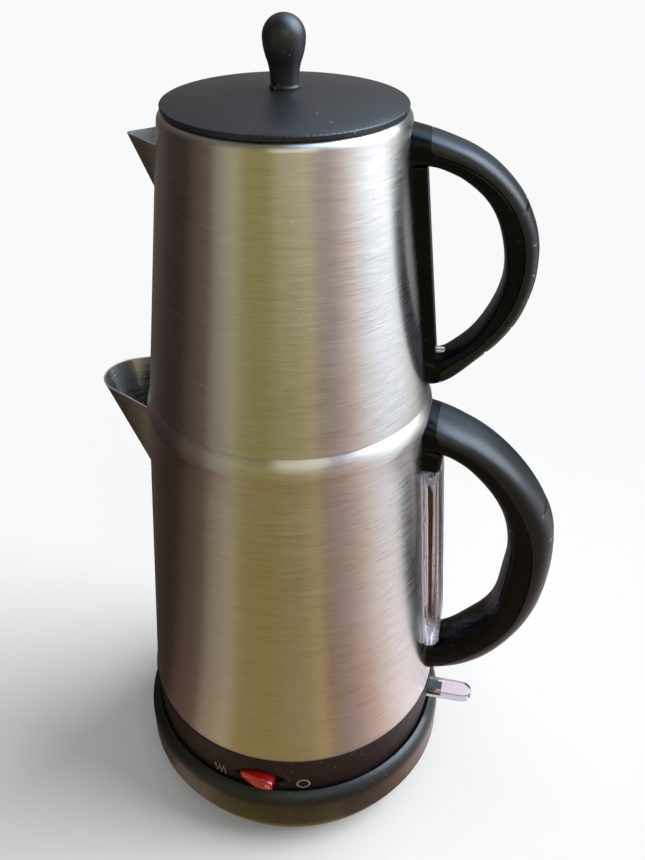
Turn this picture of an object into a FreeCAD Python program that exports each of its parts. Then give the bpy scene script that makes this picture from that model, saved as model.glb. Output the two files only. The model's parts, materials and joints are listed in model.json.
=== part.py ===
"""Two-tier electric tea maker: a cordless steel kettle on a power base, with a
steel teapot standing in the kettle's mouth and a lid on the teapot.

Millimetres, +Z up, origin at the centre of the base on the surface it stands on.
The handles point to +X, the spouts to -X and the warm switch to -Y.
"""
import FreeCAD
import Part
import math
import os

V = FreeCAD.Vector
Z = V(0, 0, 1)

# Clearances and stock
CLEAR = 0.3                # between pieces of different bodies
FIT = 0.05                 # radial running clearance of a pin in its hole
SEAT = 0.1                 # between two pieces of one body that nest
SHEET = 0.8                # steel sheet of both pots and both spouts

# Outlines that the rest is derived from
SKIRT_TOP_R = 71.2         # kettle wall at the upper edge of the black band
SKIRT_TOP_Z = 58.0
KETTLE_TOP_R = 60.0
KETTLE_TOP_Z = 208.6       # where the straight wall ends and the shoulder starts
CUP_Z = 27.0               # floor of the base's cup, which the kettle stands on
SKIRT_FOOT_Z = CUP_Z + CLEAR
SKIRT_BOTTOM_R = SKIRT_TOP_R - 1.0
BAND_LIP = 0.5             # how far the band's upper edge stands out from the steel

# Power base
FOOT_H = 1.0               # how far the rubber feet stand out of the base
FOOT_R = 7.0
FOOT_PITCH_R = 54.0
CUP_R = SKIRT_BOTTOM_R + 1.0
BASE_R = CUP_R + 5.0
BASE_BOTTOM_R = BASE_R - 8.2
BASE_BULGE_Z = 16.5        # height of the widest place
BASE_WALL = 2.4
BASE_RIM_Z = 36.6          # top of the rim round the cup
BASE_SHOULDER_Z = 28.0     # where the outer wall starts to curve in to the rim
CUP_FLOOR = 2.6
PLATE_T = 1.8              # bottom plate of the base
BOSS_R = 4.0
BASE_SCREW_R = 1.5
GLAND_R = 4.6
GLAND_BORE_R = 3.1
GLAND_Z = 10.5

# Round 360 degree coupler
PLUG_R = 12.0
PLUG_TOP_Z = 41.0
PLUG_FLANGE_R = 26.0
PLUG_COLLAR_R = 19.0
PIN_R = 1.9
RING_R = 7.1               # middle radius of the ring contact
RING_T = 0.8
CONTACT_GAP = 0.6          # round the contacts in the plug's slots
SOCKET_WALL = 3.0
SOCKET_TOP_Z = 43.4        # ceiling of the socket over the plug
SOCKET_CAP = 3.4
SOCKET_FLANGE_R = 21.0

# Kettle
SKIRT_WALL = 2.2
DECK_Z = KETTLE_TOP_Z + 11.7    # highest place of the shoulder
DECK_R = KETTLE_TOP_R - 2.8
MOUTH_R = KETTLE_TOP_R - 6.8
MOUTH_LIP_H = 6.0
HEATER_T = 1.6
SPREADER_R = 44.0
SPREADER_T = 2.0
ELEMENT_R = 35.0
ELEMENT_W = 9.0
ELEMENT_H = 6.0
CONTROL_R = 24.0
CONTROL_PILLARS = (30, 150, 270)
STEAM_TUBE_R = 4.0
STEAM_TUBE_AT = (34.0, 38.0)
STEAM_TUBE_TOP = KETTLE_TOP_Z - 8.6
COVER_T = 1.8
COVER_POST_R = 3.2
COVER_POSTS = (90, 210, 330)   # directions of the posts that carry the cover

# Water gauge
GAUGE_Z = (SKIRT_TOP_Z + 32.0, KETTLE_TOP_Z - 18.6)
GAUGE_W = 31.0
GAUGE_PROUD = 5.0
GAUGE_SLOT_W = 11.0
GAUGE_WALL = 2.0
GAUGE_END = 10.0           # closed end of the window above and below the slot
GASKET_T = 0.6
FRAME_W = 27.4             # black frame over the window, part of the handle's liner
FRAME_PROUD = 6.2

# Teapot
TEAPOT_TURN = 4.5          # degrees that the teapot stands turned on the kettle
TEAPOT_BOTTOM_R = DECK_R + 1.3
TEAPOT_BOTTOM_Z = DECK_Z + CLEAR
TEAPOT_TOP_R = TEAPOT_BOTTOM_R - 13.2   # where the wall turns in to the mouth
TEAPOT_TOP_Z = TEAPOT_BOTTOM_Z + 111.3
TEAPOT_SHOULDER = 3.2
TEAPOT_MOUTH_R = TEAPOT_TOP_R - 4.7
TEAPOT_LIP_H = 3.6
PLUG_GAP = 1.0             # between the teapot's foot and the kettle's mouth
PLUG_DEPTH = 11.0          # how deep the teapot's foot stands in the kettle
STRAINER_HOLE_R = 1.1
STRAINER_PITCH = 3.4
STRAINER_ROW = 3.2

# Spouts: reach of the tip from the wall, height of the rim and of the ridge below it, half
# width at the wall and radius of the nose, both at the rim
KETTLE_SPOUT = dict(reach=24.2, rim_z=DECK_Z - 7.1, ridge=54.0, half_w=21.9, nose_r=15.5)
TEAPOT_SPOUT = dict(reach=12.5, rim_z=TEAPOT_TOP_Z - 11.4, ridge=21.5, half_w=12.0, nose_r=2.6)

# Lid
LID_R = TEAPOT_TOP_R - 1.4
LID_EDGE_H = 1.9
LID_APEX_Z = TEAPOT_TOP_Z + 6.3
LID_T = 2.2
LID_PLUG_GAP = 0.6
LID_PLUG_H = 8.0
KNOB_BALL_R = 7.5
KNOB_BALL_Z = LID_APEX_Z + 16.6
KNOB_NECK_R = 5.0
KNOB_FOOT_R = 5.4
KNOB_FOOT_H = 0.9
KNOB_SCREW_R = 1.6

# Handles. Each section is an inner point, an outer point, the width and the place of the seam
# between liner and shell as a share of the depth. A point is (out, up): out is its distance
# from the pot's wall, up its share of the way from the handle's foot to its head.
KETTLE_HANDLE = dict(
    foot=SKIRT_TOP_Z + 6.0, head=DECK_Z - 4.3, stud_in=(16.0, 16.0), seam_out=(3.1, 3.7),
    sections=(
        (-5.1, 0.852, -3.4, 1.000, 28.0, 0.55),
        (8.2, 0.876, 11.5, 0.961, 27.0, 0.52),
        (20.7, 0.811, 30.0, 0.889, 26.0, 0.54),
        (29.4, 0.729, 44.1, 0.786, 25.5, 0.48),
        (34.0, 0.627, 53.9, 0.651, 25.0, 0.50),
        (34.4, 0.513, 54.2, 0.513, 25.0, 0.57),
        (31.9, 0.416, 50.6, 0.376, 25.0, 0.62),
        (28.8, 0.314, 42.3, 0.243, 24.5, 0.62),
        (20.2, 0.237, 29.7, 0.125, 24.0, 0.61),
        (9.0, 0.160, 13.4, 0.041, 23.5, 0.63),
        (-4.6, 0.188, -2.8, 0.000, 23.0, 0.63),
    ))
TEAPOT_HANDLE = dict(
    foot=TEAPOT_BOTTOM_Z + 1.7, head=TEAPOT_TOP_Z - 3.4, stud_in=(16.4, 12.4),
    seam_out=(4.5, 5.5),
    sections=(
        (-3.3, 0.849, -1.3, 1.000, 19.0, 0.50),
        (10.8, 0.858, 14.7, 0.953, 19.0, 0.46),
        (21.0, 0.798, 28.3, 0.883, 19.0, 0.54),
        (27.5, 0.716, 38.4, 0.776, 19.0, 0.57),
        (30.4, 0.609, 43.6, 0.633, 19.5, 0.56),
        (30.6, 0.492, 42.3, 0.478, 20.0, 0.52),
        (26.9, 0.381, 36.3, 0.332, 19.5, 0.47),
        (21.1, 0.286, 27.3, 0.220, 19.0, 0.42),
        (11.7, 0.194, 15.4, 0.121, 18.5, 0.40),
        (-3.0, 0.176, -5.3, 0.002, 18.0, 0.40),
    ))
HANDLE_CORNER = 0.36       # corner radius as a share of the section's depth
SEAM_W = 0.4               # groove along the seam between liner and shell
SEAM_DEPTH = 0.9
SEAM_ROUND = 4.0           # corner of the shell beside the wall
GROOVE_W = 1.0
GROOVE_DEPTH = 0.9
GROOVE_LEN = 15.0
STRIP_W = 15.0
STRIP_T = 3.6
STUD_R = 1.8
STUD_LEN = 8.0
HANDLE_SCREW_R = 1.1

# Power lever under the handle
LEVER_Z = SKIRT_FOOT_Z + 15.9
LEVER_W = 10.5
LEVER_H = 5.0
LEVER_TIP_R = SKIRT_BOTTOM_R + 23.1
LEVER_ROOT_R = SKIRT_BOTTOM_R - 4.2
LEVER_PIVOT_R = SKIRT_BOTTOM_R - 13.2
LEVER_PIN_R = 1.5
LEVER_TRAVEL = 12.0        # degrees from off to on
ARM_W = 5.0
ARM_H = 2.6
ARM_TIP_R = SKIRT_BOTTOM_R + 7.8

# Warm switch at the front
ROCKER_Z = SKIRT_FOOT_Z + 15.7
ROCKER_HALF = 8.6
ROCKER_H = 7.6
ROCKER_LENS = (11.0, 3.95)      # half width and half height of its pointed oval face
ROCKER_FACE = 6.0          # from the pivot out to the rocker's ends
ROCKER_RIDGE = 6.9         # from the pivot out to the ridge in the middle
ROCKER_TILT = 14.0         # each side of level
ROCKER_DEPTH = 4.0         # pivot behind the band's surface
TRUNNION_R = 1.2
RECESS_LENS = (14.2, 6.8)
APERTURE_LENS = (13.4, 4.6)
RECESS_DEPTH = 1.1

pieces = {}


# Helpers

def outline(points):
    """Closed wire in the XZ plane. (r, z) is a line to it, (r, z, r_mid, z_mid) an arc."""
    edges = []
    last = V(points[0][0], 0, points[0][1])
    for item in list(points[1:]) + [points[0][:2]]:
        here = V(item[0], 0, item[1])
        if len(item) == 4:
            edges.append(Part.Arc(last, V(item[2], 0, item[3]), here).toShape())
        else:
            edges.append(Part.makeLine(last, here))
        last = here
    return Part.Wire(edges)


def turned(points, angle=360):
    return Part.Face(outline(points)).revolve(V(0, 0, 0), Z, angle)


def block(x0, x1, y0, y1, z0, z1):
    return Part.makeBox(x1 - x0, y1 - y0, z1 - z0, V(x0, y0, z0))


def rod(radius, x, y, z0, z1):
    return Part.makeCylinder(radius, z1 - z0, V(x, y, z0))


def rod_x(radius, z, x0, x1):
    return Part.makeCylinder(radius, x1 - x0, V(x0, 0, z), V(1, 0, 0))


def ring(r_out, r_in, z0, z1):
    return rod(r_out, 0, 0, z0, z1).cut(rod(r_in, 0, 0, z0 - 1, z1 + 1))


def around(shape, angle):
    copy = shape.copy()
    copy.rotate(V(0, 0, 0), Z, angle)
    return copy


def group(shapes):
    return Part.makeCompound(shapes)


def cone_r(z, low, high):
    """Radius at z of the cone through the (r, z) pairs low and high."""
    return low[0] + (high[0] - low[0]) * (z - low[1]) / (high[1] - low[1])


KETTLE_LOW = (SKIRT_TOP_R, SKIRT_TOP_Z)
KETTLE_HIGH = (KETTLE_TOP_R, KETTLE_TOP_Z)
TEAPOT_LOW = (TEAPOT_BOTTOM_R, TEAPOT_BOTTOM_Z)
TEAPOT_HIGH = (TEAPOT_TOP_R, TEAPOT_TOP_Z - TEAPOT_SHOULDER)


def kettle_r(z):
    return cone_r(z, KETTLE_LOW, KETTLE_HIGH)


def teapot_r(z):
    return cone_r(z, TEAPOT_LOW, TEAPOT_HIGH)


# Power base

PLATE_BOTTOM = FOOT_H + 0.4
PLATE_TOP = PLATE_BOTTOM + PLATE_T
CUP_UNDER = CUP_Z - CUP_FLOOR
CORNERS = (45, 135, 225, 315)
SCREW_PITCH_R = FOOT_PITCH_R - FOOT_R - BOSS_R - 1.0
GLAND_Y = cone_r(GLAND_Z, (BASE_BOTTOM_R, FOOT_H), (BASE_R, BASE_BULGE_Z)) - BASE_WALL - 6.0


def on_circle(radius, angle):
    return radius * math.cos(math.radians(angle)), radius * math.sin(math.radians(angle))


def base_shell():
    bulge = 0.62 * BASE_R + 0.38 * BASE_BOTTOM_R
    inner_r = BASE_R - BASE_WALL
    shell = turned([
        (BASE_BOTTOM_R, FOOT_H),
        (BASE_R, BASE_BULGE_Z, bulge - 0.7, 0.5 * (FOOT_H + BASE_BULGE_Z) - 0.6),
        (BASE_R, BASE_SHOULDER_Z),
        (CUP_R + 0.9, BASE_RIM_Z, BASE_R - 0.9, BASE_RIM_Z - 3.2),
        (CUP_R, BASE_RIM_Z - 0.4),
        (CUP_R, CUP_Z),
        (PLUG_COLLAR_R + SEAT, CUP_Z),
        (PLUG_COLLAR_R + SEAT, CUP_UNDER),
        (inner_r, CUP_UNDER),
        (inner_r, BASE_BULGE_Z),
        (BASE_BOTTOM_R - BASE_WALL, FOOT_H, bulge - 0.7 - BASE_WALL,
         0.5 * (FOOT_H + BASE_BULGE_Z) + 0.4),
    ])
    for angle in CORNERS:
        x, y = on_circle(SCREW_PITCH_R, angle)
        boss = rod(BOSS_R, x, y, PLATE_TOP, CUP_UNDER)
        shell = shell.fuse(boss).cut(rod(BASE_SCREW_R + SEAT, x, y, 0, CUP_UNDER - 4))
    hole = Part.makeCylinder(GLAND_R + SEAT, 2 * BASE_WALL + 10, V(0, GLAND_Y - 1, GLAND_Z),
                             V(0, 1, 0))
    return shell.cut(hole).removeSplitter()


def base_plate():
    plate_r = BASE_BOTTOM_R - BASE_WALL - 0.4
    plate = rod(plate_r, 0, 0, PLATE_BOTTOM, PLATE_TOP)
    for angle in CORNERS:
        x, y = on_circle(FOOT_PITCH_R, angle)
        plate = plate.cut(rod(FOOT_R - 2, x, y, 0, PLATE_TOP + 1))
        x, y = on_circle(SCREW_PITCH_R, angle)
        plate = plate.cut(rod(BASE_SCREW_R + SEAT, x, y, 0, PLATE_TOP + 1))
    for turn in range(-2, 3):
        vent = block(-14, 14, -1.2, 1.2, 0, PLATE_TOP + 1)
        vent.translate(V(0, 7.0 * turn, 0))
        plate = plate.cut(vent)
    return plate


def base_feet():
    feet = []
    for angle in CORNERS:
        x, y = on_circle(FOOT_PITCH_R, angle)
        pad = rod(FOOT_R, x, y, 0, PLATE_BOTTOM)
        pad = pad.makeFillet(0.5, [e for e in pad.Edges if e.BoundBox.ZMax < 0.1])
        feet.append(pad.fuse(rod(FOOT_R - 2 - SEAT, x, y, PLATE_BOTTOM, PLATE_TOP + 0.6)))
    return group(feet)


def base_screws():
    screws = []
    for angle in CORNERS:
        x, y = on_circle(SCREW_PITCH_R, angle)
        head = rod(2 * BASE_SCREW_R, x, y, FOOT_H - 0.4, PLATE_BOTTOM)
        screws.append(head.fuse(rod(BASE_SCREW_R, x, y, PLATE_BOTTOM, CUP_UNDER - 6)))
    return group(screws)


def cord_gland():
    """Bush in the rear wall that the supply lead would enter by."""
    bush = Part.makeCylinder(GLAND_R, 12.5, V(0, GLAND_Y - 3, GLAND_Z), V(0, 1, 0))
    flange = Part.makeCylinder(GLAND_R + 1.8, 2.0, V(0, GLAND_Y - 3, GLAND_Z), V(0, 1, 0))
    bore = Part.makeCylinder(GLAND_BORE_R, 30, V(0, GLAND_Y - 8, GLAND_Z), V(0, 1, 0))
    return bush.fuse(flange).cut(bore)


def terminal_block():
    block_y = 34.0
    body = block(-13, 13, block_y - 5, block_y + 5, PLATE_TOP, PLATE_TOP + 10)
    for x in (-8, 0, 8):
        body = body.cut(rod(2.0, x, block_y, PLATE_TOP + 4, PLATE_TOP + 11))
        wire_way = Part.makeCylinder(1.5, 30, V(x, block_y - 15, PLATE_TOP + 5.2), V(0, 1, 0))
        body = body.cut(wire_way)
    return body


def coupler_plug():
    slot_in = RING_R - 0.5 * RING_T - CONTACT_GAP
    slot_out = RING_R + 0.5 * RING_T + CONTACT_GAP
    pin_hole = PIN_R + CONTACT_GAP
    slot_z = CUP_Z + 3.0
    return turned([
        (pin_hole, CUP_UNDER - 2.4),
        (PLUG_FLANGE_R, CUP_UNDER - 2.4),
        (PLUG_FLANGE_R, CUP_UNDER),
        (PLUG_COLLAR_R, CUP_UNDER),
        (PLUG_COLLAR_R, CUP_Z),
        (PLUG_R, CUP_Z),
        (PLUG_R, PLUG_TOP_Z - 1.5),
        (PLUG_R - 1.5, PLUG_TOP_Z, PLUG_R - 0.44, PLUG_TOP_Z - 0.44),
        (slot_out, PLUG_TOP_Z),
        (slot_out, slot_z),
        (slot_in, slot_z),
        (slot_in, PLUG_TOP_Z),
        (pin_hole, PLUG_TOP_Z),
    ])


def plug_contacts():
    slot_z = CUP_Z + 3.0
    floor_ring = ring(RING_R + 0.9, RING_R - 0.9, slot_z, slot_z + 1.2)
    centre = rod(PIN_R + CONTACT_GAP, 0, 0, CUP_UNDER - 2.4, slot_z + 0.4)
    return group([floor_ring, centre])


# Kettle side of the coupler

def kettle_socket():
    barrel_in = PLUG_R + CLEAR
    barrel_out = barrel_in + SOCKET_WALL
    return turned([
        (0, SOCKET_TOP_Z),
        (barrel_in, SOCKET_TOP_Z),
        (barrel_in, CUP_Z + CLEAR),
        (barrel_out, CUP_Z + CLEAR),
        (barrel_out, SOCKET_TOP_Z),
        (SOCKET_FLANGE_R, SOCKET_TOP_Z),
        (SOCKET_FLANGE_R, SOCKET_TOP_Z + SOCKET_CAP),
        (0, SOCKET_TOP_Z + SOCKET_CAP),
    ])


def socket_contacts():
    tip_z = CUP_Z + 6.0
    blade = ring(RING_R + 0.5 * RING_T, RING_R - 0.5 * RING_T, tip_z, SOCKET_TOP_Z)
    pin = rod(PIN_R, 0, 0, tip_z - 1, SOCKET_TOP_Z)
    pin = pin.makeFillet(1.0, [e for e in pin.Edges if e.BoundBox.ZMax < tip_z])
    return group([blade, pin])


# Kettle

def band_r(z):
    """Outer radius of the black band round the kettle's foot."""
    return cone_r(z, (SKIRT_BOTTOM_R, SKIRT_FOOT_Z), (SKIRT_TOP_R + BAND_LIP, SKIRT_TOP_Z))


def kettle_outer(extra=0.0):
    """Solid up to the outside of the kettle's steel wall, wider by extra."""
    return turned([
        (0, SKIRT_TOP_Z),
        (SKIRT_TOP_R + extra, SKIRT_TOP_Z),
        (KETTLE_TOP_R + extra, KETTLE_TOP_Z),
        (DECK_R + extra, DECK_Z + extra, KETTLE_TOP_R - 0.6 + extra, DECK_Z - 3.4 + extra),
        (0, DECK_Z + extra),
    ])


def spout_section(tip_r, half_w, nose_r, wall_at, root_r, z):
    """Wedge with a round nose that points to -X; half_w is its half width at wall_at."""
    cx = tip_r - nose_r
    dx = wall_at - cx
    tangent = math.atan2(half_w, dx) - math.acos(nose_r / math.hypot(dx, half_w))
    tx, ty = cx + nose_r * math.cos(tangent), nose_r * math.sin(tangent)
    root_w = half_w + (half_w - ty) / (tx - wall_at) * (wall_at - root_r)
    corner_a, corner_b = V(-root_r, root_w, z), V(-root_r, -root_w, z)
    t_a, t_b = V(-tx, ty, z), V(-tx, -ty, z)
    nose = Part.Arc(t_a, V(-tip_r, 0, z), t_b).toShape()
    return Part.Wire([Part.makeLine(corner_a, t_a), nose, Part.makeLine(t_b, corner_b),
                      Part.makeLine(corner_b, corner_a)])


def spout_horn(spec, wall_r, depth, inset, lift):
    """Wedge that narrows from the rim down to the foot of the ridge.

    inset moves the sides in by the sheet, lift is how far it runs on above the rim.
    """
    rim_z = spec["rim_z"]
    foot_z = rim_z - spec["ridge"]
    foot_r = wall_r(foot_z)
    wall_top = wall_r(rim_z)
    rise = (spec["ridge"] + lift) / spec["ridge"]
    tip_r = foot_r + (wall_top + spec["reach"] - foot_r) * rise - inset
    top = spout_section(tip_r, spec["half_w"] * rise - inset, spec["nose_r"] - inset, wall_top,
                        wall_top - depth, rim_z + lift)
    low = spout_section(foot_r + 0.6 - 0.5 * inset, 1.6 - 0.5 * inset, 0.7 - 0.4 * inset,
                        foot_r - 1.0, foot_r - depth - 1.0, foot_z - 1.0 + 2.0 * inset)
    return Part.makeLoft([low, top], True, True)


def spout(spec, wall_r, outer):
    """Sheet spout welded to the outside of a pot's wall."""
    horn = spout_horn(spec, wall_r, 6.0, 0.0, 0.0)
    hollow = spout_horn(spec, wall_r, 9.0, SHEET, 2.0)
    return horn.cut(hollow).cut(outer)


def kettle_body():
    inner_top_r = KETTLE_TOP_R - SHEET
    shell = turned([
        (SKIRT_TOP_R, SKIRT_TOP_Z),
        (KETTLE_TOP_R, KETTLE_TOP_Z),
        (DECK_R, DECK_Z, KETTLE_TOP_R - 0.6, DECK_Z - 3.4),
        (MOUTH_R + 0.8, DECK_Z),
        (MOUTH_R, DECK_Z - 0.8, MOUTH_R + 0.24, DECK_Z - 0.24),
        (MOUTH_R, DECK_Z - MOUTH_LIP_H),
        (MOUTH_R + SHEET, DECK_Z - MOUTH_LIP_H),
        (MOUTH_R + SHEET, DECK_Z - SHEET),
        (DECK_R - 0.3, DECK_Z - SHEET),
        (inner_top_r, KETTLE_TOP_Z, inner_top_r - 0.5, DECK_Z - 4.0),
        (SKIRT_TOP_R - SHEET, SKIRT_TOP_Z),
    ])
    way = spout_horn(KETTLE_SPOUT, kettle_r, 9.0, SHEET, 0.0)
    low, high = GAUGE_Z
    slot = block(KETTLE_TOP_R - GAUGE_END, SKIRT_TOP_R + GAUGE_END, -0.5 * GAUGE_SLOT_W,
                 0.5 * GAUGE_SLOT_W, low + GAUGE_END, high - GAUGE_END)
    slot = slot.makeFillet(0.4 * GAUGE_SLOT_W, [e for e in slot.Edges if abs(
        e.Vertexes[0].X - e.Vertexes[-1].X) > 20])
    return shell.cut(way).cut(slot)


def heater_plate():
    top = SKIRT_TOP_Z + 6.0
    edge_r = kettle_r(top) - SHEET - SEAT
    plate = rod(edge_r, 0, 0, top - HEATER_T, top)
    return plate.cut(rod(STEAM_TUBE_R + SEAT, *STEAM_TUBE_AT, top - 5, top + 5))


HEATER_UNDER = SKIRT_TOP_Z + 6.0 - HEATER_T


def heat_spreader():
    return rod(SPREADER_R, 0, 0, HEATER_UNDER - SPREADER_T, HEATER_UNDER)


def heater_element():
    """Sealed tube bent nearly full circle under the spreader, with its two cold tails."""
    top = HEATER_UNDER - SPREADER_T
    r_in = ELEMENT_R - 0.5 * ELEMENT_W
    r_out = ELEMENT_R + 0.5 * ELEMENT_W
    tube = turned([(r_in, top), (r_in, top - 0.5 * ELEMENT_H),
                   (r_out, top - 0.5 * ELEMENT_H, ELEMENT_R, top - ELEMENT_H),
                   (r_out, top)], 300)
    tube = around(tube, 120)
    tails = [around(block(r_in, r_out, -3, 3, top - ELEMENT_H - 5, top), a) for a in (115, 65)]
    return tube.fuse(tails[0]).fuse(tails[1])


def control_block():
    """Boil control over the coupler, hollowed for the snap disc under the spreader."""
    low = SOCKET_TOP_Z + SOCKET_CAP + CLEAR
    high = HEATER_UNDER - SPREADER_T - 2.0
    body = rod(CONTROL_R, 0, 0, low, high)
    return body.cut(rod(9.5, 0, 0, high - 1.2, high + 1))


def snap_disc():
    base = HEATER_UNDER - SPREADER_T - 3.2
    return turned([(0, base), (9.0, base), (9.0, base + 0.5), (4.0, base + 1.4), (0, base + 1.4)])


def control_pillars():
    """Three spacers that hang the control from the spreader."""
    low = HEATER_UNDER - SPREADER_T - 2.0
    high = HEATER_UNDER - SPREADER_T
    return group([rod(2.5, *on_circle(CONTROL_R - 5, a), low, high) for a in CONTROL_PILLARS])


def steam_tube():
    x, y = STEAM_TUBE_AT
    low = SKIRT_TOP_Z - 12
    tube = rod(STEAM_TUBE_R, x, y, low, STEAM_TUBE_TOP)
    tube = tube.cut(rod(STEAM_TUBE_R - 0.6, x, y, low - 1, STEAM_TUBE_TOP + 1))
    cutter = block(-10, 10, -10, 10, 0, 20)
    cutter.rotate(V(0, 0, 0), V(1, 1, 0), 35)
    cutter.translate(V(x, y, STEAM_TUBE_TOP))
    collar = rod(STEAM_TUBE_R + 3, x, y, HEATER_UNDER - 2.5, HEATER_UNDER)
    collar = collar.cut(rod(STEAM_TUBE_R - 0.6, x, y, HEATER_UNDER - 5, HEATER_UNDER + 5))
    return tube.cut(cutter).fuse(collar)


def lens(size, out_0, out_1, z):
    """Pointed oval prism along -Y."""
    half_w, half_h = size
    left, right = V(-half_w, -out_0, z), V(half_w, -out_0, z)
    upper = Part.Arc(left, V(0, -out_0, z + half_h), right).toShape()
    lower = Part.Arc(right, V(0, -out_0, z - half_h), left).toShape()
    return Part.Face(Part.Wire([upper, lower])).extrude(V(0, out_0 - out_1, 0))


ROCKER_PIVOT = band_r(ROCKER_Z) - ROCKER_DEPTH
ROCKER_CAVITY = (math.hypot(ROCKER_HALF, ROCKER_FACE) * math.cos(
    math.atan2(ROCKER_FACE, ROCKER_HALF) - math.radians(ROCKER_TILT)) + 2 * CLEAR)


def rocker_way(out_0, out_1):
    half_h = 0.5 * ROCKER_H + CLEAR
    return block(-ROCKER_CAVITY, ROCKER_CAVITY, -out_1, -out_0, ROCKER_Z - half_h,
                 ROCKER_Z + half_h)


def lever_sweep(grow):
    """Space that the lever passes through from off to on, wider by grow."""
    half = 0.5 * LEVER_H + grow
    bar = block(LEVER_PIVOT_R + 4, LEVER_TIP_R + 5, -0.5 * LEVER_W - grow,
                0.5 * LEVER_W + grow, LEVER_Z - half, LEVER_Z + half)
    down = bar.copy()
    down.rotate(V(LEVER_PIVOT_R, 0, LEVER_Z), V(0, 1, 0), LEVER_TRAVEL)
    return bar.fuse(down)


def kettle_skirt():
    lip_top = HEATER_UNDER - SEAT
    lip_r = kettle_r(lip_top) - SHEET - SEAT
    skirt = turned([
        (SKIRT_BOTTOM_R - 0.6, SKIRT_FOOT_Z),
        (SKIRT_BOTTOM_R, SKIRT_FOOT_Z + 0.6),
        (SKIRT_TOP_R + BAND_LIP, SKIRT_TOP_Z - 0.3),
        (SKIRT_TOP_R + BAND_LIP - 0.3, SKIRT_TOP_Z),
        (SKIRT_TOP_R - SHEET - SEAT, SKIRT_TOP_Z),
        (lip_r, lip_top),
        (lip_r - 1.2, lip_top),
        (SKIRT_TOP_R - SHEET - 1.6, SKIRT_TOP_Z),
        (SKIRT_TOP_R - SKIRT_WALL, SKIRT_TOP_Z - 2),
        (SKIRT_BOTTOM_R - SKIRT_WALL, SKIRT_FOOT_Z),
    ])
    face = band_r(ROCKER_Z)
    skirt = skirt.cut(lens(RECESS_LENS, face - RECESS_DEPTH, face + 5, ROCKER_Z))
    skirt = skirt.cut(lens(APERTURE_LENS, face - 12, face + 5, ROCKER_Z))
    return skirt.cut(lever_sweep(2 * CLEAR))


def bottom_cover():
    edge_r = SKIRT_BOTTOM_R - SKIRT_WALL - SEAT
    low = SKIRT_FOOT_Z + 1.2
    hole_r = PLUG_R + CLEAR + SOCKET_WALL + CLEAR
    cover = rod(edge_r, 0, 0, low, low + COVER_T).cut(rod(hole_r, 0, 0, 0, 60))
    for angle in COVER_POSTS:
        x, y = on_circle(edge_r - 16, angle)
        cover = cover.cut(rod(BASE_SCREW_R + SEAT, x, y, low - 1, low + 5))
        post = rod(COVER_POST_R, x, y, low + COVER_T, HEATER_UNDER)
        cover = cover.fuse(post.cut(rod(BASE_SCREW_R + SEAT, x, y, low, HEATER_UNDER - 6)))
    drain = block(-4, 4, edge_r - 12, edge_r - 8, low - 1, low + 5)
    return cover.cut(drain)


def cover_screws():
    edge_r = SKIRT_BOTTOM_R - SKIRT_WALL - SEAT
    low = SKIRT_FOOT_Z + 1.2
    screws = []
    for angle in COVER_POSTS:
        x, y = on_circle(edge_r - 16, angle)
        shank = rod(BASE_SCREW_R, x, y, low, HEATER_UNDER - 8)
        screws.append(shank.fuse(rod(2 * BASE_SCREW_R, x, y, low - 0.8, low)))
    return group(screws)


# Water gauge

GAUGE_TILT = math.degrees(math.atan((SKIRT_TOP_R - KETTLE_TOP_R) / (KETTLE_TOP_Z - SKIRT_TOP_Z)))


def gauge_block(width, low, high, inset, proud):
    """Upright block that leans with the wall, from inset behind it to proud before it."""
    mid = 0.5 * (low + high)
    half = 0.5 * (high - low)
    shape = block(-inset, proud, -0.5 * width, 0.5 * width, -half, half)
    front = [e for e in shape.Edges if e.BoundBox.XMin > proud - 0.1]
    if proud > 2.0:
        shape = shape.makeFillet(min(0.3 * width, 0.8 * proud), [
            e for e in front if e.BoundBox.ZLength > half])
    shape.rotate(V(0, 0, 0), V(0, 1, 0), -GAUGE_TILT)
    shape.translate(V(kettle_r(mid), 0, mid))
    return shape


def gauge_window():
    low, high = GAUGE_Z
    shell = gauge_block(GAUGE_W, low, high, 4.0, GAUGE_PROUD).cut(kettle_outer(GASKET_T))
    hollow = gauge_block(GAUGE_SLOT_W + 3, low + 8, high - 8, 8.0, GAUGE_PROUD - GAUGE_WALL)
    return shell.cut(hollow)


def gauge_gasket():
    low, high = GAUGE_Z
    pad = gauge_block(GAUGE_W - 1, low + 0.5, high - 0.5, 4.0, 1.5)
    pad = pad.common(kettle_outer(GASKET_T)).cut(kettle_outer())
    return pad.cut(gauge_block(GAUGE_SLOT_W + 3, low + 8, high - 8, 8.0, 4.0))


# Handles

def place(spec, wall_r, out, up):
    """(r, z) of a handle point that is given by its distance from the wall and its share."""
    z = spec["foot"] + (spec["head"] - spec["foot"]) * up
    return wall_r(z) + out, z


def placed(spec, wall_r):
    """Inner point, outer point, width and seam of each section."""
    return [(place(spec, wall_r, *row[0:2]), place(spec, wall_r, *row[2:4]), row[4], row[5])
            for row in spec["sections"]]


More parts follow.
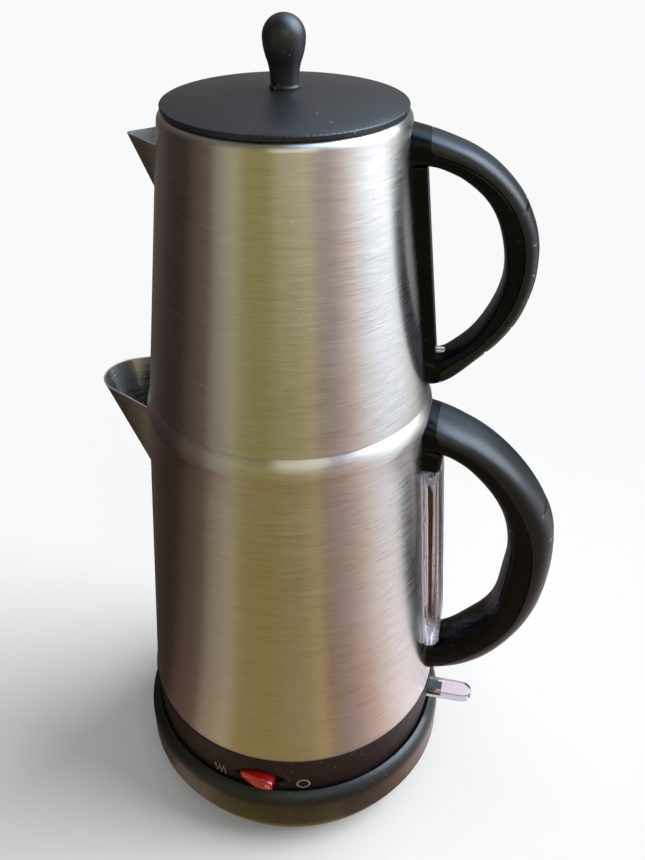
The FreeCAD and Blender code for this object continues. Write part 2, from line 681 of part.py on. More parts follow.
def handle_section(inner, outer, width, inset):
    """Rounded section between an inner and an outer point of the XZ plane."""
    a, b = V(inner[0], 0, inner[1]), V(outer[0], 0, outer[1])
    full = b.sub(a).Length
    along = b.sub(a).multiply(1.0 / full)
    a = a.add(V(along).multiply(inset))
    depth = full - 2 * inset
    side = V(0, 1, 0)
    corner = min(HANDLE_CORNER * full, 0.45 * width) - inset
    lo, hi = corner, depth - corner
    w = 0.5 * width - inset
    q = corner * (1 - math.sqrt(0.5))

    def at(u, v):
        return a.add(V(along).multiply(u)).add(V(side).multiply(v))

    edges = [
        Part.makeLine(at(0, -w + corner), at(0, w - corner)),
        Part.Arc(at(0, w - corner), at(q, w - q), at(lo, w)).toShape(),
        Part.makeLine(at(lo, w), at(hi, w)),
        Part.Arc(at(hi, w), at(depth - q, w - q), at(depth, w - corner)).toShape(),
        Part.makeLine(at(depth, w - corner), at(depth, -w + corner)),
        Part.Arc(at(depth, -w + corner), at(depth - q, -w + q), at(hi, -w)).toShape(),
        Part.makeLine(at(hi, -w), at(lo, -w)),
        Part.Arc(at(lo, -w), at(q, -w + q), at(0, -w + corner)).toShape(),
    ]
    return Part.Wire(edges)


def between(inner, outer, share, shift=0.0):
    a, b = V(inner[0], 0, inner[1]), V(outer[0], 0, outer[1])
    along = b.sub(a)
    return a.add(V(along).multiply(share + shift / along.Length))


def outer_side(spec, wall_r, shift):
    """Prism that holds everything outside the seam between liner and shell.

    The seam leaves the wall's side upright, turns a round corner and follows the handle.
    """
    sections = placed(spec, wall_r)[1:-1]
    points = [between(i, o, share, shift) for i, o, w, share in sections]
    seam = Part.BSplineCurve()
    seam.interpolate(points)
    first, last = points[0], points[-1]
    top_x = place(spec, wall_r, spec["seam_out"][1], 0.95)[0] + shift
    low_x = place(spec, wall_r, spec["seam_out"][0], 0.05)[0] + shift
    start, end = seam.tangent(seam.FirstParameter)[0], seam.tangent(seam.LastParameter)[0]
    corner = V(top_x, 0, first.z + start.z / start.x * (top_x - first.x))
    foot = V(low_x, 0, last.z + end.z / end.x * (low_x - last.x))
    far = 200.0 + 10 * shift
    half = 30.0 + shift
    path = [last, foot, V(low_x, 0, foot.z - far), V(far, 0, foot.z - far),
            V(far, 0, corner.z + far), V(top_x, 0, corner.z + far), corner, first]
    lines = [Part.makeLine(p, q) for p, q in zip(path, path[1:])]
    prism = Part.Face(Part.Wire([seam.toShape()] + lines)).extrude(V(0, 2 * half, 0))
    prism.translate(V(0, -half, 0))
    return prism.makeFillet(SEAM_ROUND, [e for e in prism.Edges if abs(
        e.BoundBox.XMin - top_x) + e.BoundBox.XLength + abs(e.BoundBox.ZMax - corner.z) < 0.01])


def grooves(spec, wall_r, skipped):
    """Short grip grooves across the back of the handle, midway between its sections."""
    sections = placed(spec, wall_r)
    cuts = []
    for index in range(skipped, len(sections) - 2):
        here = between(*sections[index][:2], 1.0)
        there = between(*sections[index + 1][:2], 1.0)
        mid = here.add(there).multiply(0.5)
        tangent = there.sub(here).normalize()
        normal = V(-tangent.z, 0, tangent.x)
        if normal.x < 0:
            normal = V(tangent.z, 0, -tangent.x)
        bar = block(-GROOVE_DEPTH, 6, -0.5 * GROOVE_LEN, 0.5 * GROOVE_LEN,
                    -0.5 * GROOVE_W, 0.5 * GROOVE_W)
        bar.rotate(V(0, 0, 0), V(0, 1, 0), -math.degrees(math.atan2(normal.z, normal.x)))
        bar.translate(mid.add(V(normal).multiply(0.25)))
        cuts.append(bar)
    return cuts


def stud_heights(spec):
    return spec["head"] - spec["stud_in"][1], spec["foot"] + spec["stud_in"][0]


def handle(spec, outer, skipped, wall_r, extra):
    """Outer shell and inner liner of a handle, cut to the pot and bored for its studs."""
    sections = placed(spec, wall_r)
    whole = Part.makeLoft([handle_section(i, o, w, 0.0) for i, o, w, s in sections], True, False)
    core = Part.makeLoft([handle_section(i, o, w, SEAM_DEPTH) for i, o, w, s in sections],
                         True, False)
    whole = whole.fuse(extra).cut(outer)
    for z in stud_heights(spec):
        whole = whole.cut(rod_x(STUD_R + SEAT, z, wall_r(z) - 2, wall_r(z) + STUD_LEN))
    side = outer_side(spec, wall_r, 0.0)
    groove = side.cut(outer_side(spec, wall_r, SEAM_W)).cut(core)
    shell = whole.common(side).cut(groove)
    for bar in grooves(spec, wall_r, skipped):
        shell = shell.cut(bar)
    return shell, whole.cut(side)


def handle_studs(spec, wall_r, outer):
    """Threaded studs welded to the wall, one in each end of the handle."""
    pins = []
    for z in stud_heights(spec):
        pin = rod_x(STUD_R, z, wall_r(z) - 3, wall_r(z) + STUD_LEN - 1)
        pin = pin.cut(rod_x(HANDLE_SCREW_R, z, wall_r(z) + 4, wall_r(z) + STUD_LEN + 1))
        pins.append(pin.cut(outer))
    return group(pins)


def handle_screws(spec, wall_r):
    screws = []
    for z in stud_heights(spec):
        end = wall_r(z) + STUD_LEN
        screws.append(rod_x(HANDLE_SCREW_R - SEAT, z, wall_r(z) + 5, end - 0.4))
    return group(screws)


def kettle_handle_parts():
    """The liner also has the frame over the water gauge."""
    low, high = GAUGE_Z
    frame = gauge_block(FRAME_W, high, high + GAUGE_END, 4.0, FRAME_PROUD)
    shell, liner = handle(KETTLE_HANDLE, kettle_outer(), 3, kettle_r, frame)
    keep_out = gauge_block(GAUGE_W + 0.4, low - 0.2, high + 0.2, 8.0, GAUGE_PROUD + 0.2)
    return shell, liner.cut(keep_out)


# Teapot

def teapot_outer():
    top_r, turn_z = TEAPOT_HIGH
    bend = TEAPOT_SHOULDER * (1 - math.sqrt(0.5))
    return turned([
        (0, TEAPOT_BOTTOM_Z),
        TEAPOT_LOW,
        TEAPOT_HIGH,
        (top_r - TEAPOT_SHOULDER, TEAPOT_TOP_Z, top_r - bend, TEAPOT_TOP_Z - bend),
        (0, TEAPOT_TOP_Z)])


def teapot_body():
    top_r, turn_z = TEAPOT_HIGH
    bend = TEAPOT_SHOULDER * (1 - math.sqrt(0.5))
    inner_bend = SHEET + (TEAPOT_SHOULDER - SHEET) * (1 - math.sqrt(0.5))
    shell = turned([
        TEAPOT_LOW,
        TEAPOT_HIGH,
        (top_r - TEAPOT_SHOULDER, TEAPOT_TOP_Z, top_r - bend, TEAPOT_TOP_Z - bend),
        (TEAPOT_MOUTH_R + 0.8, TEAPOT_TOP_Z),
        (TEAPOT_MOUTH_R, TEAPOT_TOP_Z - 0.8, TEAPOT_MOUTH_R + 0.24, TEAPOT_TOP_Z - 0.24),
        (TEAPOT_MOUTH_R, TEAPOT_TOP_Z - TEAPOT_LIP_H),
        (TEAPOT_MOUTH_R + SHEET, TEAPOT_TOP_Z - TEAPOT_LIP_H),
        (TEAPOT_MOUTH_R + SHEET, TEAPOT_TOP_Z - SHEET),
        (top_r - TEAPOT_SHOULDER, TEAPOT_TOP_Z - SHEET),
        (top_r - SHEET, turn_z, top_r - inner_bend, TEAPOT_TOP_Z - inner_bend),
        (TEAPOT_BOTTOM_R - SHEET, TEAPOT_BOTTOM_Z),
    ])
    return shell.cut(group(strainer_holes()))


def strainer_holes():
    """Staggered holes through the wall behind the teapot's spout."""
    holes = []
    for count in (1, 2, 3, 4):
        z = TEAPOT_SPOUT["rim_z"] - 5.8 - STRAINER_ROW * (4 - count)
        for k in range(count):
            y = (k - 0.5 * (count - 1)) * STRAINER_PITCH
            start = V(-teapot_r(z) - 6, y, z)
            holes.append(Part.makeCylinder(STRAINER_HOLE_R, 12, start, V(1, 0, 0)))
    return holes


def teapot_floor():
    seat_r = TEAPOT_BOTTOM_R - SHEET - SEAT
    foot_r = MOUTH_R - PLUG_GAP
    seat_z = TEAPOT_BOTTOM_Z + 0.1
    low = TEAPOT_BOTTOM_Z - PLUG_DEPTH
    return turned([
        (0, low),
        (foot_r - 2.5, low),
        (foot_r, low + 2.5, foot_r - 0.73, low + 0.73),
        (foot_r, seat_z),
        (seat_r, seat_z),
        (seat_r, seat_z + SHEET),
        (foot_r - SHEET, seat_z + SHEET),
        (foot_r - SHEET, low + 2.5),
        (foot_r - 2.5, low + SHEET, foot_r - 1.3, low + 1.3),
        (0, low + SHEET),
    ])


def teapot_handle_parts():
    """The liner also has a strip down the wall between the two ends of the handle."""
    ends = placed(TEAPOT_HANDLE, teapot_r)
    low, high = ends[-1][0][1] - 3, ends[0][0][1] + 2
    strip = Part.Face(outline([
        (teapot_r(low) - 4, low), (teapot_r(low) + STRIP_T, low),
        (teapot_r(high) + STRIP_T, high), (teapot_r(high) - 4, high)])).extrude(V(0, STRIP_W, 0))
    strip.translate(V(0, -0.5 * STRIP_W, 0))
    return handle(TEAPOT_HANDLE, teapot_outer(), 2, teapot_r, strip)


# Lid

LID_SEAT_Z = TEAPOT_TOP_Z + CLEAR


def dome_z(r):
    """Height of the lid's upper face at radius r, a shallow spherical cap."""
    rim_z = LID_SEAT_Z + LID_EDGE_H
    rise = LID_APEX_Z - rim_z
    ball_r = (LID_R ** 2 + rise ** 2) / (2 * rise)
    return LID_APEX_Z - ball_r + math.sqrt(ball_r ** 2 - r ** 2)


def lid_disc():
    mid = 0.55 * LID_R
    plug_r = TEAPOT_MOUTH_R - LID_PLUG_GAP
    hole_r = KNOB_SCREW_R + SEAT
    return turned([
        (hole_r, dome_z(hole_r)),
        (LID_R - 0.5, dome_z(LID_R - 0.5), mid, dome_z(mid)),
        (LID_R, dome_z(LID_R) - 0.5, LID_R - 0.12, dome_z(LID_R) - 0.1),
        (LID_R - 0.3, LID_SEAT_Z),
        (plug_r, LID_SEAT_Z),
        (mid, dome_z(mid) - LID_T, 0.5 * (mid + plug_r), dome_z(0.5 * (mid + plug_r)) - LID_T - 0.1),
        (hole_r, dome_z(hole_r) - LID_T, 0.5 * mid, dome_z(0.5 * mid) - LID_T),
    ])


def lid_skirt():
    plug_r = TEAPOT_MOUTH_R - LID_PLUG_GAP
    low = LID_SEAT_Z - LID_PLUG_H
    return ring(plug_r, plug_r - 1.6, low, LID_SEAT_Z - 0.4)


def lid_knob():
    """Pear shaped: a short collar, a neck that swells and a ball."""
    foot_z = dome_z(KNOB_FOOT_R) + 0.05
    neck_z = foot_z + KNOB_FOOT_H + 1.2
    swell_z = KNOB_BALL_Z - 7.9
    knob = turned([
        (0, foot_z),
        (KNOB_FOOT_R, foot_z),
        (KNOB_FOOT_R, foot_z + KNOB_FOOT_H),
        (KNOB_NECK_R, neck_z, KNOB_NECK_R + 0.1, foot_z + KNOB_FOOT_H + 0.4),
        (KNOB_NECK_R + 0.85, swell_z, KNOB_NECK_R + 0.2, 0.5 * (neck_z + swell_z)),
        (KNOB_BALL_R, KNOB_BALL_Z, KNOB_BALL_R - 0.6, KNOB_BALL_Z - 4.7),
        (0, KNOB_BALL_Z + KNOB_BALL_R, KNOB_BALL_R * math.sqrt(0.5),
         KNOB_BALL_Z + KNOB_BALL_R * math.sqrt(0.5)),
    ])
    return knob.cut(rod(KNOB_SCREW_R + SEAT, 0, 0, foot_z - 1, KNOB_BALL_Z - 2))


def knob_screw():
    under = dome_z(0) - LID_T
    head = rod(2.2 * KNOB_SCREW_R, 0, 0, under - 1.6, under - 0.1)
    return head.fuse(rod(KNOB_SCREW_R, 0, 0, under - 0.1, KNOB_BALL_Z - 3))


# Lever

def power_lever():
    """Clear thumb tab with a rounded end, hollow over the arm that carries it."""
    half_w, half_h = 0.5 * LEVER_W, 0.5 * LEVER_H
    tab = block(LEVER_ROOT_R, LEVER_TIP_R - half_w, -half_w, half_w, LEVER_Z - half_h,
                LEVER_Z + half_h)
    nose = rod(half_w, LEVER_TIP_R - half_w, 0, LEVER_Z - half_h, LEVER_Z + half_h)
    tab = tab.fuse(nose).removeSplitter()
    tab = tab.makeFillet(1.2, [e for e in tab.Edges if e.BoundBox.ZLength < 0.1
                               and e.BoundBox.XMax > LEVER_ROOT_R + 1])
    core = block(LEVER_ROOT_R - 1, ARM_TIP_R + SEAT, -0.5 * ARM_W - SEAT, 0.5 * ARM_W + SEAT,
                 LEVER_Z - 0.5 * ARM_H - SEAT, LEVER_Z + 0.5 * ARM_H + SEAT)
    return tab.cut(core)


def lever_arm():
    arm = block(LEVER_PIVOT_R, ARM_TIP_R, -0.5 * ARM_W, 0.5 * ARM_W, LEVER_Z - 0.5 * ARM_H,
                LEVER_Z + 0.5 * ARM_H)
    eye_r = LEVER_PIN_R + 2.2
    eye = Part.makeCylinder(eye_r, ARM_W, V(LEVER_PIVOT_R, -0.5 * ARM_W, LEVER_Z), V(0, 1, 0))
    hole = Part.makeCylinder(LEVER_PIN_R + FIT, 40, V(LEVER_PIVOT_R, -20, LEVER_Z), V(0, 1, 0))
    return arm.fuse(eye).cut(hole)


def lever_carrier():
    """Two ears that hang from the floor of the kettle and hold the lever's pin."""
    ear_in = 0.5 * ARM_W + CLEAR
    ears = []
    for side in (-1, 1):
        y0, y1 = sorted((side * ear_in, side * (ear_in + 2.5)))
        ears.append(block(LEVER_PIVOT_R - 4, LEVER_PIVOT_R + 4, y0, y1, LEVER_Z - 4, HEATER_UNDER))
    top = block(LEVER_PIVOT_R - 4, LEVER_PIVOT_R + 4, -ear_in - 2.5, ear_in + 2.5,
                HEATER_UNDER - 2, HEATER_UNDER)
    hole = Part.makeCylinder(LEVER_PIN_R + FIT, 40, V(LEVER_PIVOT_R, -20, LEVER_Z), V(0, 1, 0))
    return ears[0].fuse(ears[1]).fuse(top).cut(hole).removeSplitter()


def lever_pin():
    half = 0.5 * ARM_W + CLEAR + 3.0
    return Part.makeCylinder(LEVER_PIN_R, 2 * half, V(LEVER_PIVOT_R, -half, LEVER_Z), V(0, 1, 0))


# Warm switch

def warm_rocker():
    """Two-faced rocker with trunnions, resting with its left end pressed."""
    half_h = 0.5 * ROCKER_H
    flat = [(-ROCKER_HALF, ROCKER_FACE), (0, ROCKER_RIDGE), (ROCKER_HALF, ROCKER_FACE),
            (ROCKER_HALF - 1.2, 0.5), (3.0, -3.0), (-3.0, -3.0), (1.2 - ROCKER_HALF, 0.5)]
    corners = [V(x, -ROCKER_PIVOT - out, ROCKER_Z - half_h) for x, out in flat]
    body = Part.Face(Part.makePolygon(corners + corners[:1])).extrude(V(0, 0, ROCKER_H))
    body = body.common(lens(ROCKER_LENS, ROCKER_PIVOT - 10, ROCKER_PIVOT + 10, ROCKER_Z))
    front = [e for e in body.Edges if e.BoundBox.YMax < -ROCKER_PIVOT - ROCKER_FACE + 0.1]
    body = body.makeFillet(0.5, front)
    pin = rod(TRUNNION_R, 0, -ROCKER_PIVOT, ROCKER_Z - half_h - 1.3, ROCKER_Z + half_h + 1.3)
    body = body.fuse(pin)
    body.rotate(V(0, -ROCKER_PIVOT, 0), Z, -ROCKER_TILT)
    return body


def switch_housing():
    """Switch body behind the band, with the rocker's well and its trunnion holes."""
    half_h = 0.5 * ROCKER_H + 2.0
    half_w = ROCKER_CAVITY + 1.6
    depth = 14.0
    inner_r = cone_r(ROCKER_Z - half_h, (SKIRT_BOTTOM_R - SKIRT_WALL, SKIRT_FOOT_Z),
                     (SKIRT_TOP_R - SKIRT_WALL, SKIRT_TOP_Z - 2)) - SEAT
    box = block(-half_w, half_w, -SKIRT_TOP_R, -ROCKER_PIVOT + depth, ROCKER_Z - half_h,
                ROCKER_Z + half_h)
    box = box.common(rod(inner_r, 0, 0, 0, SKIRT_TOP_Z)).cut(rocker_way(ROCKER_PIVOT - 8, SKIRT_TOP_R + 5))
    tabs = [block(x - 0.4, x + 0.4, -ROCKER_PIVOT + depth, -ROCKER_PIVOT + depth + 5,
                  ROCKER_Z - 3, ROCKER_Z + 3) for x in (-7, 7)]
    holes = rod(TRUNNION_R + FIT, 0, -ROCKER_PIVOT, ROCKER_Z - 0.5 * ROCKER_H - 1.6,
                ROCKER_Z + 0.5 * ROCKER_H + 1.6)
    return box.cut(holes).fuse(tabs[0]).fuse(tabs[1])


# Assembly

def build():
    pieces.update({
        "base_shell": base_shell(), "base_plate": base_plate(), "base_feet": base_feet(),
        "base_screws": base_screws(), "cord_gland": cord_gland(),
        "terminal_block": terminal_block(), "coupler_plug": coupler_plug(),
        "plug_contacts": plug_contacts(),
        "kettle_socket": kettle_socket(), "socket_contacts": socket_contacts(),
        "kettle_body": kettle_body(),
        "kettle_spout": spout(KETTLE_SPOUT, kettle_r, kettle_outer()),
        "kettle_skirt": kettle_skirt(), "heater_plate": heater_plate(),
        "heat_spreader": heat_spreader(), "heater_element": heater_element(),
        "control_block": control_block(), "snap_disc": snap_disc(),
        "control_pillars": control_pillars(), "steam_tube": steam_tube(),
        "bottom_cover": bottom_cover(), "cover_screws": cover_screws(),
        "gauge_window": gauge_window(), "gauge_gasket": gauge_gasket(),
        "kettle_handle_studs": handle_studs(KETTLE_HANDLE, kettle_r, kettle_outer()),
        "kettle_handle_screws": handle_screws(KETTLE_HANDLE, kettle_r),
        "switch_housing": switch_housing(), "lever_carrier": lever_carrier(),
        "lever_pin": lever_pin(),
        "power_lever": power_lever(), "lever_arm": lever_arm(), "warm_rocker": warm_rocker(),
        "lid_disc": lid_disc(), "lid_skirt": lid_skirt(), "lid_knob": lid_knob(),
        "knob_screw": knob_screw(),
    })
    pieces["kettle_handle_shell"], pieces["kettle_handle_liner"] = kettle_handle_parts()
    teapot = {
        "teapot_body": teapot_body(), "teapot_floor": teapot_floor(),
        "teapot_spout": spout(TEAPOT_SPOUT, teapot_r, teapot_outer()),
        "teapot_handle_studs": handle_studs(TEAPOT_HANDLE, teapot_r, teapot_outer()),
        "teapot_handle_screws": handle_screws(TEAPOT_HANDLE, teapot_r),
    }
    teapot["teapot_handle_shell"], teapot["teapot_handle_liner"] = teapot_handle_parts()
    for name, shape in teapot.items():
        pieces[name] = around(shape, TEAPOT_TURN)


build()
os.makedirs("parts", exist_ok=True)
for name, shape in pieces.items():
    shape.exportStep("parts/" + name + ".step")
    solids = len(shape.Solids)
    print(name, "solids", solids, "valid", shape.isValid(), "volume", round(shape.Volume, 1))
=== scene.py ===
"""Looks of a two-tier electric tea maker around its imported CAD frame."""
import json
import math

import bmesh
import bpy
from mathutils import Matrix, Vector
from mathutils.bvhtree import BVHTree


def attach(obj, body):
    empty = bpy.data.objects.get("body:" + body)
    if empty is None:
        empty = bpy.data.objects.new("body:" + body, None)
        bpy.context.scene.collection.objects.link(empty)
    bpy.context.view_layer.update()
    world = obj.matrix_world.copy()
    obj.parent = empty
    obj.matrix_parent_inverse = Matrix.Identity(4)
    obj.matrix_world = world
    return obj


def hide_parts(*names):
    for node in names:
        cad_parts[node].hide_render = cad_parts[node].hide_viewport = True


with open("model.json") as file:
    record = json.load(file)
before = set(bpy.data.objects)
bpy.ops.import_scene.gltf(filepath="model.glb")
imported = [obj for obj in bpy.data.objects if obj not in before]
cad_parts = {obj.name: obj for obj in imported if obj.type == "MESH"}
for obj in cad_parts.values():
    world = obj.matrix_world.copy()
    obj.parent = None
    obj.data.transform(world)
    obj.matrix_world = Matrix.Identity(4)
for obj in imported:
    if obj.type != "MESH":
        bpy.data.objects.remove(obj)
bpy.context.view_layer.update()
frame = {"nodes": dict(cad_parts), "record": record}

scene = bpy.context.scene
scene.view_settings.view_transform = "Standard"

# Camera, solved from the circles of the object in the photograph
VIEW_TURN = math.radians(14.5)       # round the object, from straight in front to its right
CAMERA_REACH = 0.3220                # from the axis, level
CAMERA_HEIGHT = 0.4141
CAMERA_PITCH = 0.59968
CAMERA_YAW = 0.04281
CAMERA_ROLL = 0.00574
CAMERA_LENS = 37.15
SENSOR = 36.0

MM = 0.001
BESIDE = 0.1                         # metres to the side, from where rays are cast at a piece


def make_camera():
    turn = Matrix.Rotation(VIEW_TURN, 3, "Z")
    cos_p, sin_p = math.cos(CAMERA_PITCH), math.sin(CAMERA_PITCH)
    cos_y, sin_y = math.cos(CAMERA_YAW), math.sin(CAMERA_YAW)
    forward = turn @ Vector((sin_y * cos_p, cos_y * cos_p, -sin_p))
    right = turn @ Vector((cos_y, -sin_y, 0))
    up = right.cross(forward)
    cos_r, sin_r = math.cos(CAMERA_ROLL), math.sin(CAMERA_ROLL)
    right, up = cos_r * right + sin_r * up, cos_r * up - sin_r * right
    data = bpy.data.cameras.new("camera")
    data.sensor_width = SENSOR
    data.lens = CAMERA_LENS
    data.clip_start = 0.01
    camera = bpy.data.objects.new("camera", data)
    scene.collection.objects.link(camera)
    camera.matrix_world = Matrix((
        (right.x, up.x, -forward.x, 0), (right.y, up.y, -forward.y, 0),
        (right.z, up.z, -forward.z, 0), (0, 0, 0, 1)))
    camera.location = turn @ Vector((0, -CAMERA_REACH, CAMERA_HEIGHT))
    scene.camera = camera


# Node wiring

class Shade:
    """Wires the nodes of one material or world."""

    def __init__(self, owner):
        owner.use_nodes = True
        self.tree = owner.node_tree
        self.tree.nodes.clear()

    def node(self, kind, inputs=None, **settings):
        made = self.tree.nodes.new("ShaderNode" + kind)
        for name, value in settings.items():
            setattr(made, name, value)
        for name, value in (inputs or {}).items():
            self.put(made.inputs[name], value)
        return made

    def put(self, socket, value):
        if isinstance(value, bpy.types.NodeSocket):
            self.tree.links.new(value, socket)
        elif isinstance(value, bpy.types.Node):
            self.tree.links.new(value.outputs[0], socket)
        else:
            socket.default_value = value

    def math(self, operation, a, b):
        return self.node("Math", {0: a, 1: b}, operation=operation).outputs[0]

    def mix(self, share, a, b):
        made = self.node("Mix", data_type="RGBA")
        self.put(made.inputs[0], share)
        self.put(made.inputs[6], a)
        self.put(made.inputs[7], b)
        return made.outputs[2]

    def ramp(self, value, stops, interpolation="LINEAR"):
        made = self.node("ValToRGB", {0: value})
        made.color_ramp.interpolation = interpolation
        elements = made.color_ramp.elements
        while len(elements) < len(stops):
            elements.new(0.5)
        for element, (place, colour) in zip(elements, stops):
            element.position = place
            element.color = colour if len(colour) == 4 else (*colour, 1.0)
        return made.outputs[0]

    def between(self, value, low, high, to_low, to_high):
        made = self.node("MapRange", {0: value, 1: low, 2: high, 3: to_low, 4: to_high})
        return made.outputs[0]

    def noise(self, stretch, detail, rough):
        """Noise over the object in its own metres, with stretch cycles per metre on each axis."""
        source = self.node("TexCoord").outputs["Object"]
        placed = self.node("Mapping", {"Vector": source, "Scale": stretch})
        made = self.node("TexNoise", {"Vector": placed, "Scale": 1.0, "Detail": detail,
                                      "Roughness": rough})
        return made.outputs[0]

    def dots(self, per_metre, size):
        """1 inside small scattered dots, 0 elsewhere."""
        source = self.node("TexCoord").outputs["Object"]
        cells = self.node("TexVoronoi", {"Vector": source, "Scale": per_metre})
        return self.math("LESS_THAN", cells.outputs["Distance"], size)

    def finish(self, shader, target="OutputMaterial"):
        out = self.node(target)
        self.tree.links.new(shader.outputs[0], out.inputs["Surface"])


def grey(value):
    return (value, value, value, 1.0)


def material(name):
    made = bpy.data.materials.new(name)
    return made, Shade(made)


def surface(shade, **inputs):
    """Principled shader; names with _ stand for the socket names with spaces."""
    return shade.node("BsdfPrincipled", {key.replace("_", " "): value
                                         for key, value in inputs.items()})


def bump(shade, height, strength, distance):
    return shade.node("Bump", {"Height": height, "Strength": strength, "Distance": distance})


# Materials

STEEL_DARK = (0.54, 0.525, 0.50, 1.0)
STEEL_LIGHT = (0.63, 0.62, 0.60, 1.0)


def brushed_steel():
    """Stainless sheet, brushed round the pot, with dull patches, painted glints along short
    scratches and painted glint specks.
    """
    made, s = material("brushed_steel")
    fine = s.noise((90, 90, 1900), 2.0, 0.6)
    coarse = s.noise((38, 38, 850), 3.0, 0.6)
    patches = s.noise((24, 24, 16), 3.0, 0.5)
    scratch_glint_noise = s.noise((110, 110, 2600), 1.0, 0.4)
    streak = s.math("ADD", s.math("MULTIPLY", fine, 0.65), s.math("MULTIPLY", coarse, 0.35))
    tone = s.between(streak, 0.36, 0.64, 0.0, 1.0)
    colour = s.mix(tone, STEEL_DARK, STEEL_LIGHT)
    # Painted highlight: pale glint specks scattered in the dull patches.
    painted_glint_specks = s.math("MULTIPLY", s.dots(260.0, 0.10), s.between(patches, 0.5, 0.6, 0.0, 1.0))
    colour = s.mix(s.math("MULTIPLY", painted_glint_specks, 0.5), colour, (0.85, 0.84, 0.78, 1.0))
    # Painted highlight: bright glint lines where the scratch noise peaks, lightening the steel's
    # colour.
    painted_glint = s.between(scratch_glint_noise, 0.68, 0.74, 0.0, 0.4)
    colour = s.mix(painted_glint, colour, (0.82, 0.81, 0.78, 1.0))
    rough = s.math("ADD", s.between(streak, 0.35, 0.65, 0.26, 0.34),
                   s.between(patches, 0.35, 0.7, -0.03, 0.05))
    height = s.math("ADD", streak, s.math("MULTIPLY", patches, 1.5))
    tangent = s.node("Tangent", direction_type="RADIAL", axis="Z")
    s.finish(surface(s, Base_Color=colour, Metallic=1.0, Roughness=rough, Anisotropic=0.85,
                     Anisotropic_Rotation=0.25, Tangent=tangent,
                     Normal=bump(s, height, 0.09, 0.0002)))
    return made


def plastic(name, colour, rough, grain=900.0, grain_depth=0.10, dust=0.5, gloss_level=0.5):
    """Moulded plastic with a fine grain, rubbed patches and a little dust."""
    made, s = material(name)
    patches = s.noise((35, 35, 35), 4.0, 0.6)
    texture = s.noise((grain, grain, grain), 2.0, 0.5)
    dark = (colour[0] * 0.75, colour[1] * 0.75, colour[2] * 0.75, 1.0)
    tone = s.mix(s.between(patches, 0.35, 0.65, 0.0, 1.0), dark, (*colour, 1.0))
    specks = s.math("MULTIPLY", s.dots(330.0, 0.09), s.between(patches, 0.52, 0.6, 0.0, dust))
    tone = s.mix(specks, tone, (0.42, 0.40, 0.37, 1.0))
    gloss = s.math("ADD", s.between(texture, 0.3, 0.7, rough - 0.03, rough + 0.03),
                   s.between(patches, 0.3, 0.7, -0.04, 0.05))
    # Bluish specular tint: the bluish colour of the room's light painted into the plastics'
    # reflections.
    s.finish(surface(s, Base_Color=tone, Roughness=gloss, Specular_IOR_Level=gloss_level,
                     Specular_Tint=(0.84, 0.93, 1.0, 1.0),
                     Normal=bump(s, texture, grain_depth, 0.0001)))
    return made


def clear_plastic(name, colour):
    """Clear polycarbonate with faint moulding streaks."""
    made, s = material(name)
    flow = s.noise((260, 260, 30), 2.0, 0.5)
    s.finish(surface(s, Base_Color=colour, Transmission_Weight=1.0, IOR=1.49,
                     Roughness=s.between(flow, 0.35, 0.7, 0.03, 0.12),
                     Normal=bump(s, flow, 0.25, 0.0004)))
    return made


def silicone():
    """Milky sealing rubber behind the water gauge."""
    made, s = material("silicone")
    cloud = s.noise((200, 200, 60), 2.0, 0.5)
    tone = s.mix(cloud, (0.80, 0.78, 0.92, 1.0), (0.92, 0.90, 1.0, 1.0))
    s.finish(surface(s, Base_Color=tone, Roughness=0.5))
    return made


def rocker_red():
    """Clear red plastic, lit through by its own colour."""
    made, s = material("rocker_red")
    flow = s.noise((300, 300, 300), 2.0, 0.5)
    colour = s.mix(flow, (0.30, 0.004, 0.006, 1.0), (0.46, 0.010, 0.012, 1.0))
    s.finish(surface(s, Base_Color=colour, Roughness=s.between(flow, 0.3, 0.7, 0.10, 0.18),
                     Subsurface_Weight=0.10, Subsurface_Radius=(0.003, 0.0003, 0.0003),
                     Coat_Weight=0.25, Coat_Roughness=0.08, IOR=1.5))
    return made


def plain_metal(name, colour, rough):
    made, s = material(name)
    wear = s.noise((400, 400, 400), 3.0, 0.6)
    dull = (colour[0] * 0.7, colour[1] * 0.7, colour[2] * 0.7, 1.0)
    tone = s.mix(s.between(wear, 0.4, 0.65, 0.0, 1.0), dull, (*colour, 1.0))
    s.finish(surface(s, Base_Color=tone, Metallic=1.0,
                     Roughness=s.between(wear, 0.3, 0.7, rough, rough + 0.15),
                     Normal=bump(s, wear, 0.1, 0.0002)))
    return made


def print_ink(name, colour):
    made, s = material(name)
    worn = s.noise((700, 700, 700), 2.0, 0.6)
    faded = (colour[0] * 0.8, colour[1] * 0.8, colour[2] * 0.8, 1.0)
    tone = s.mix(s.between(worn, 0.4, 0.6, 0.0, 1.0), faded, (*colour, 1.0))
    s.finish(surface(s, Base_Color=tone, Roughness=0.5))
    return made


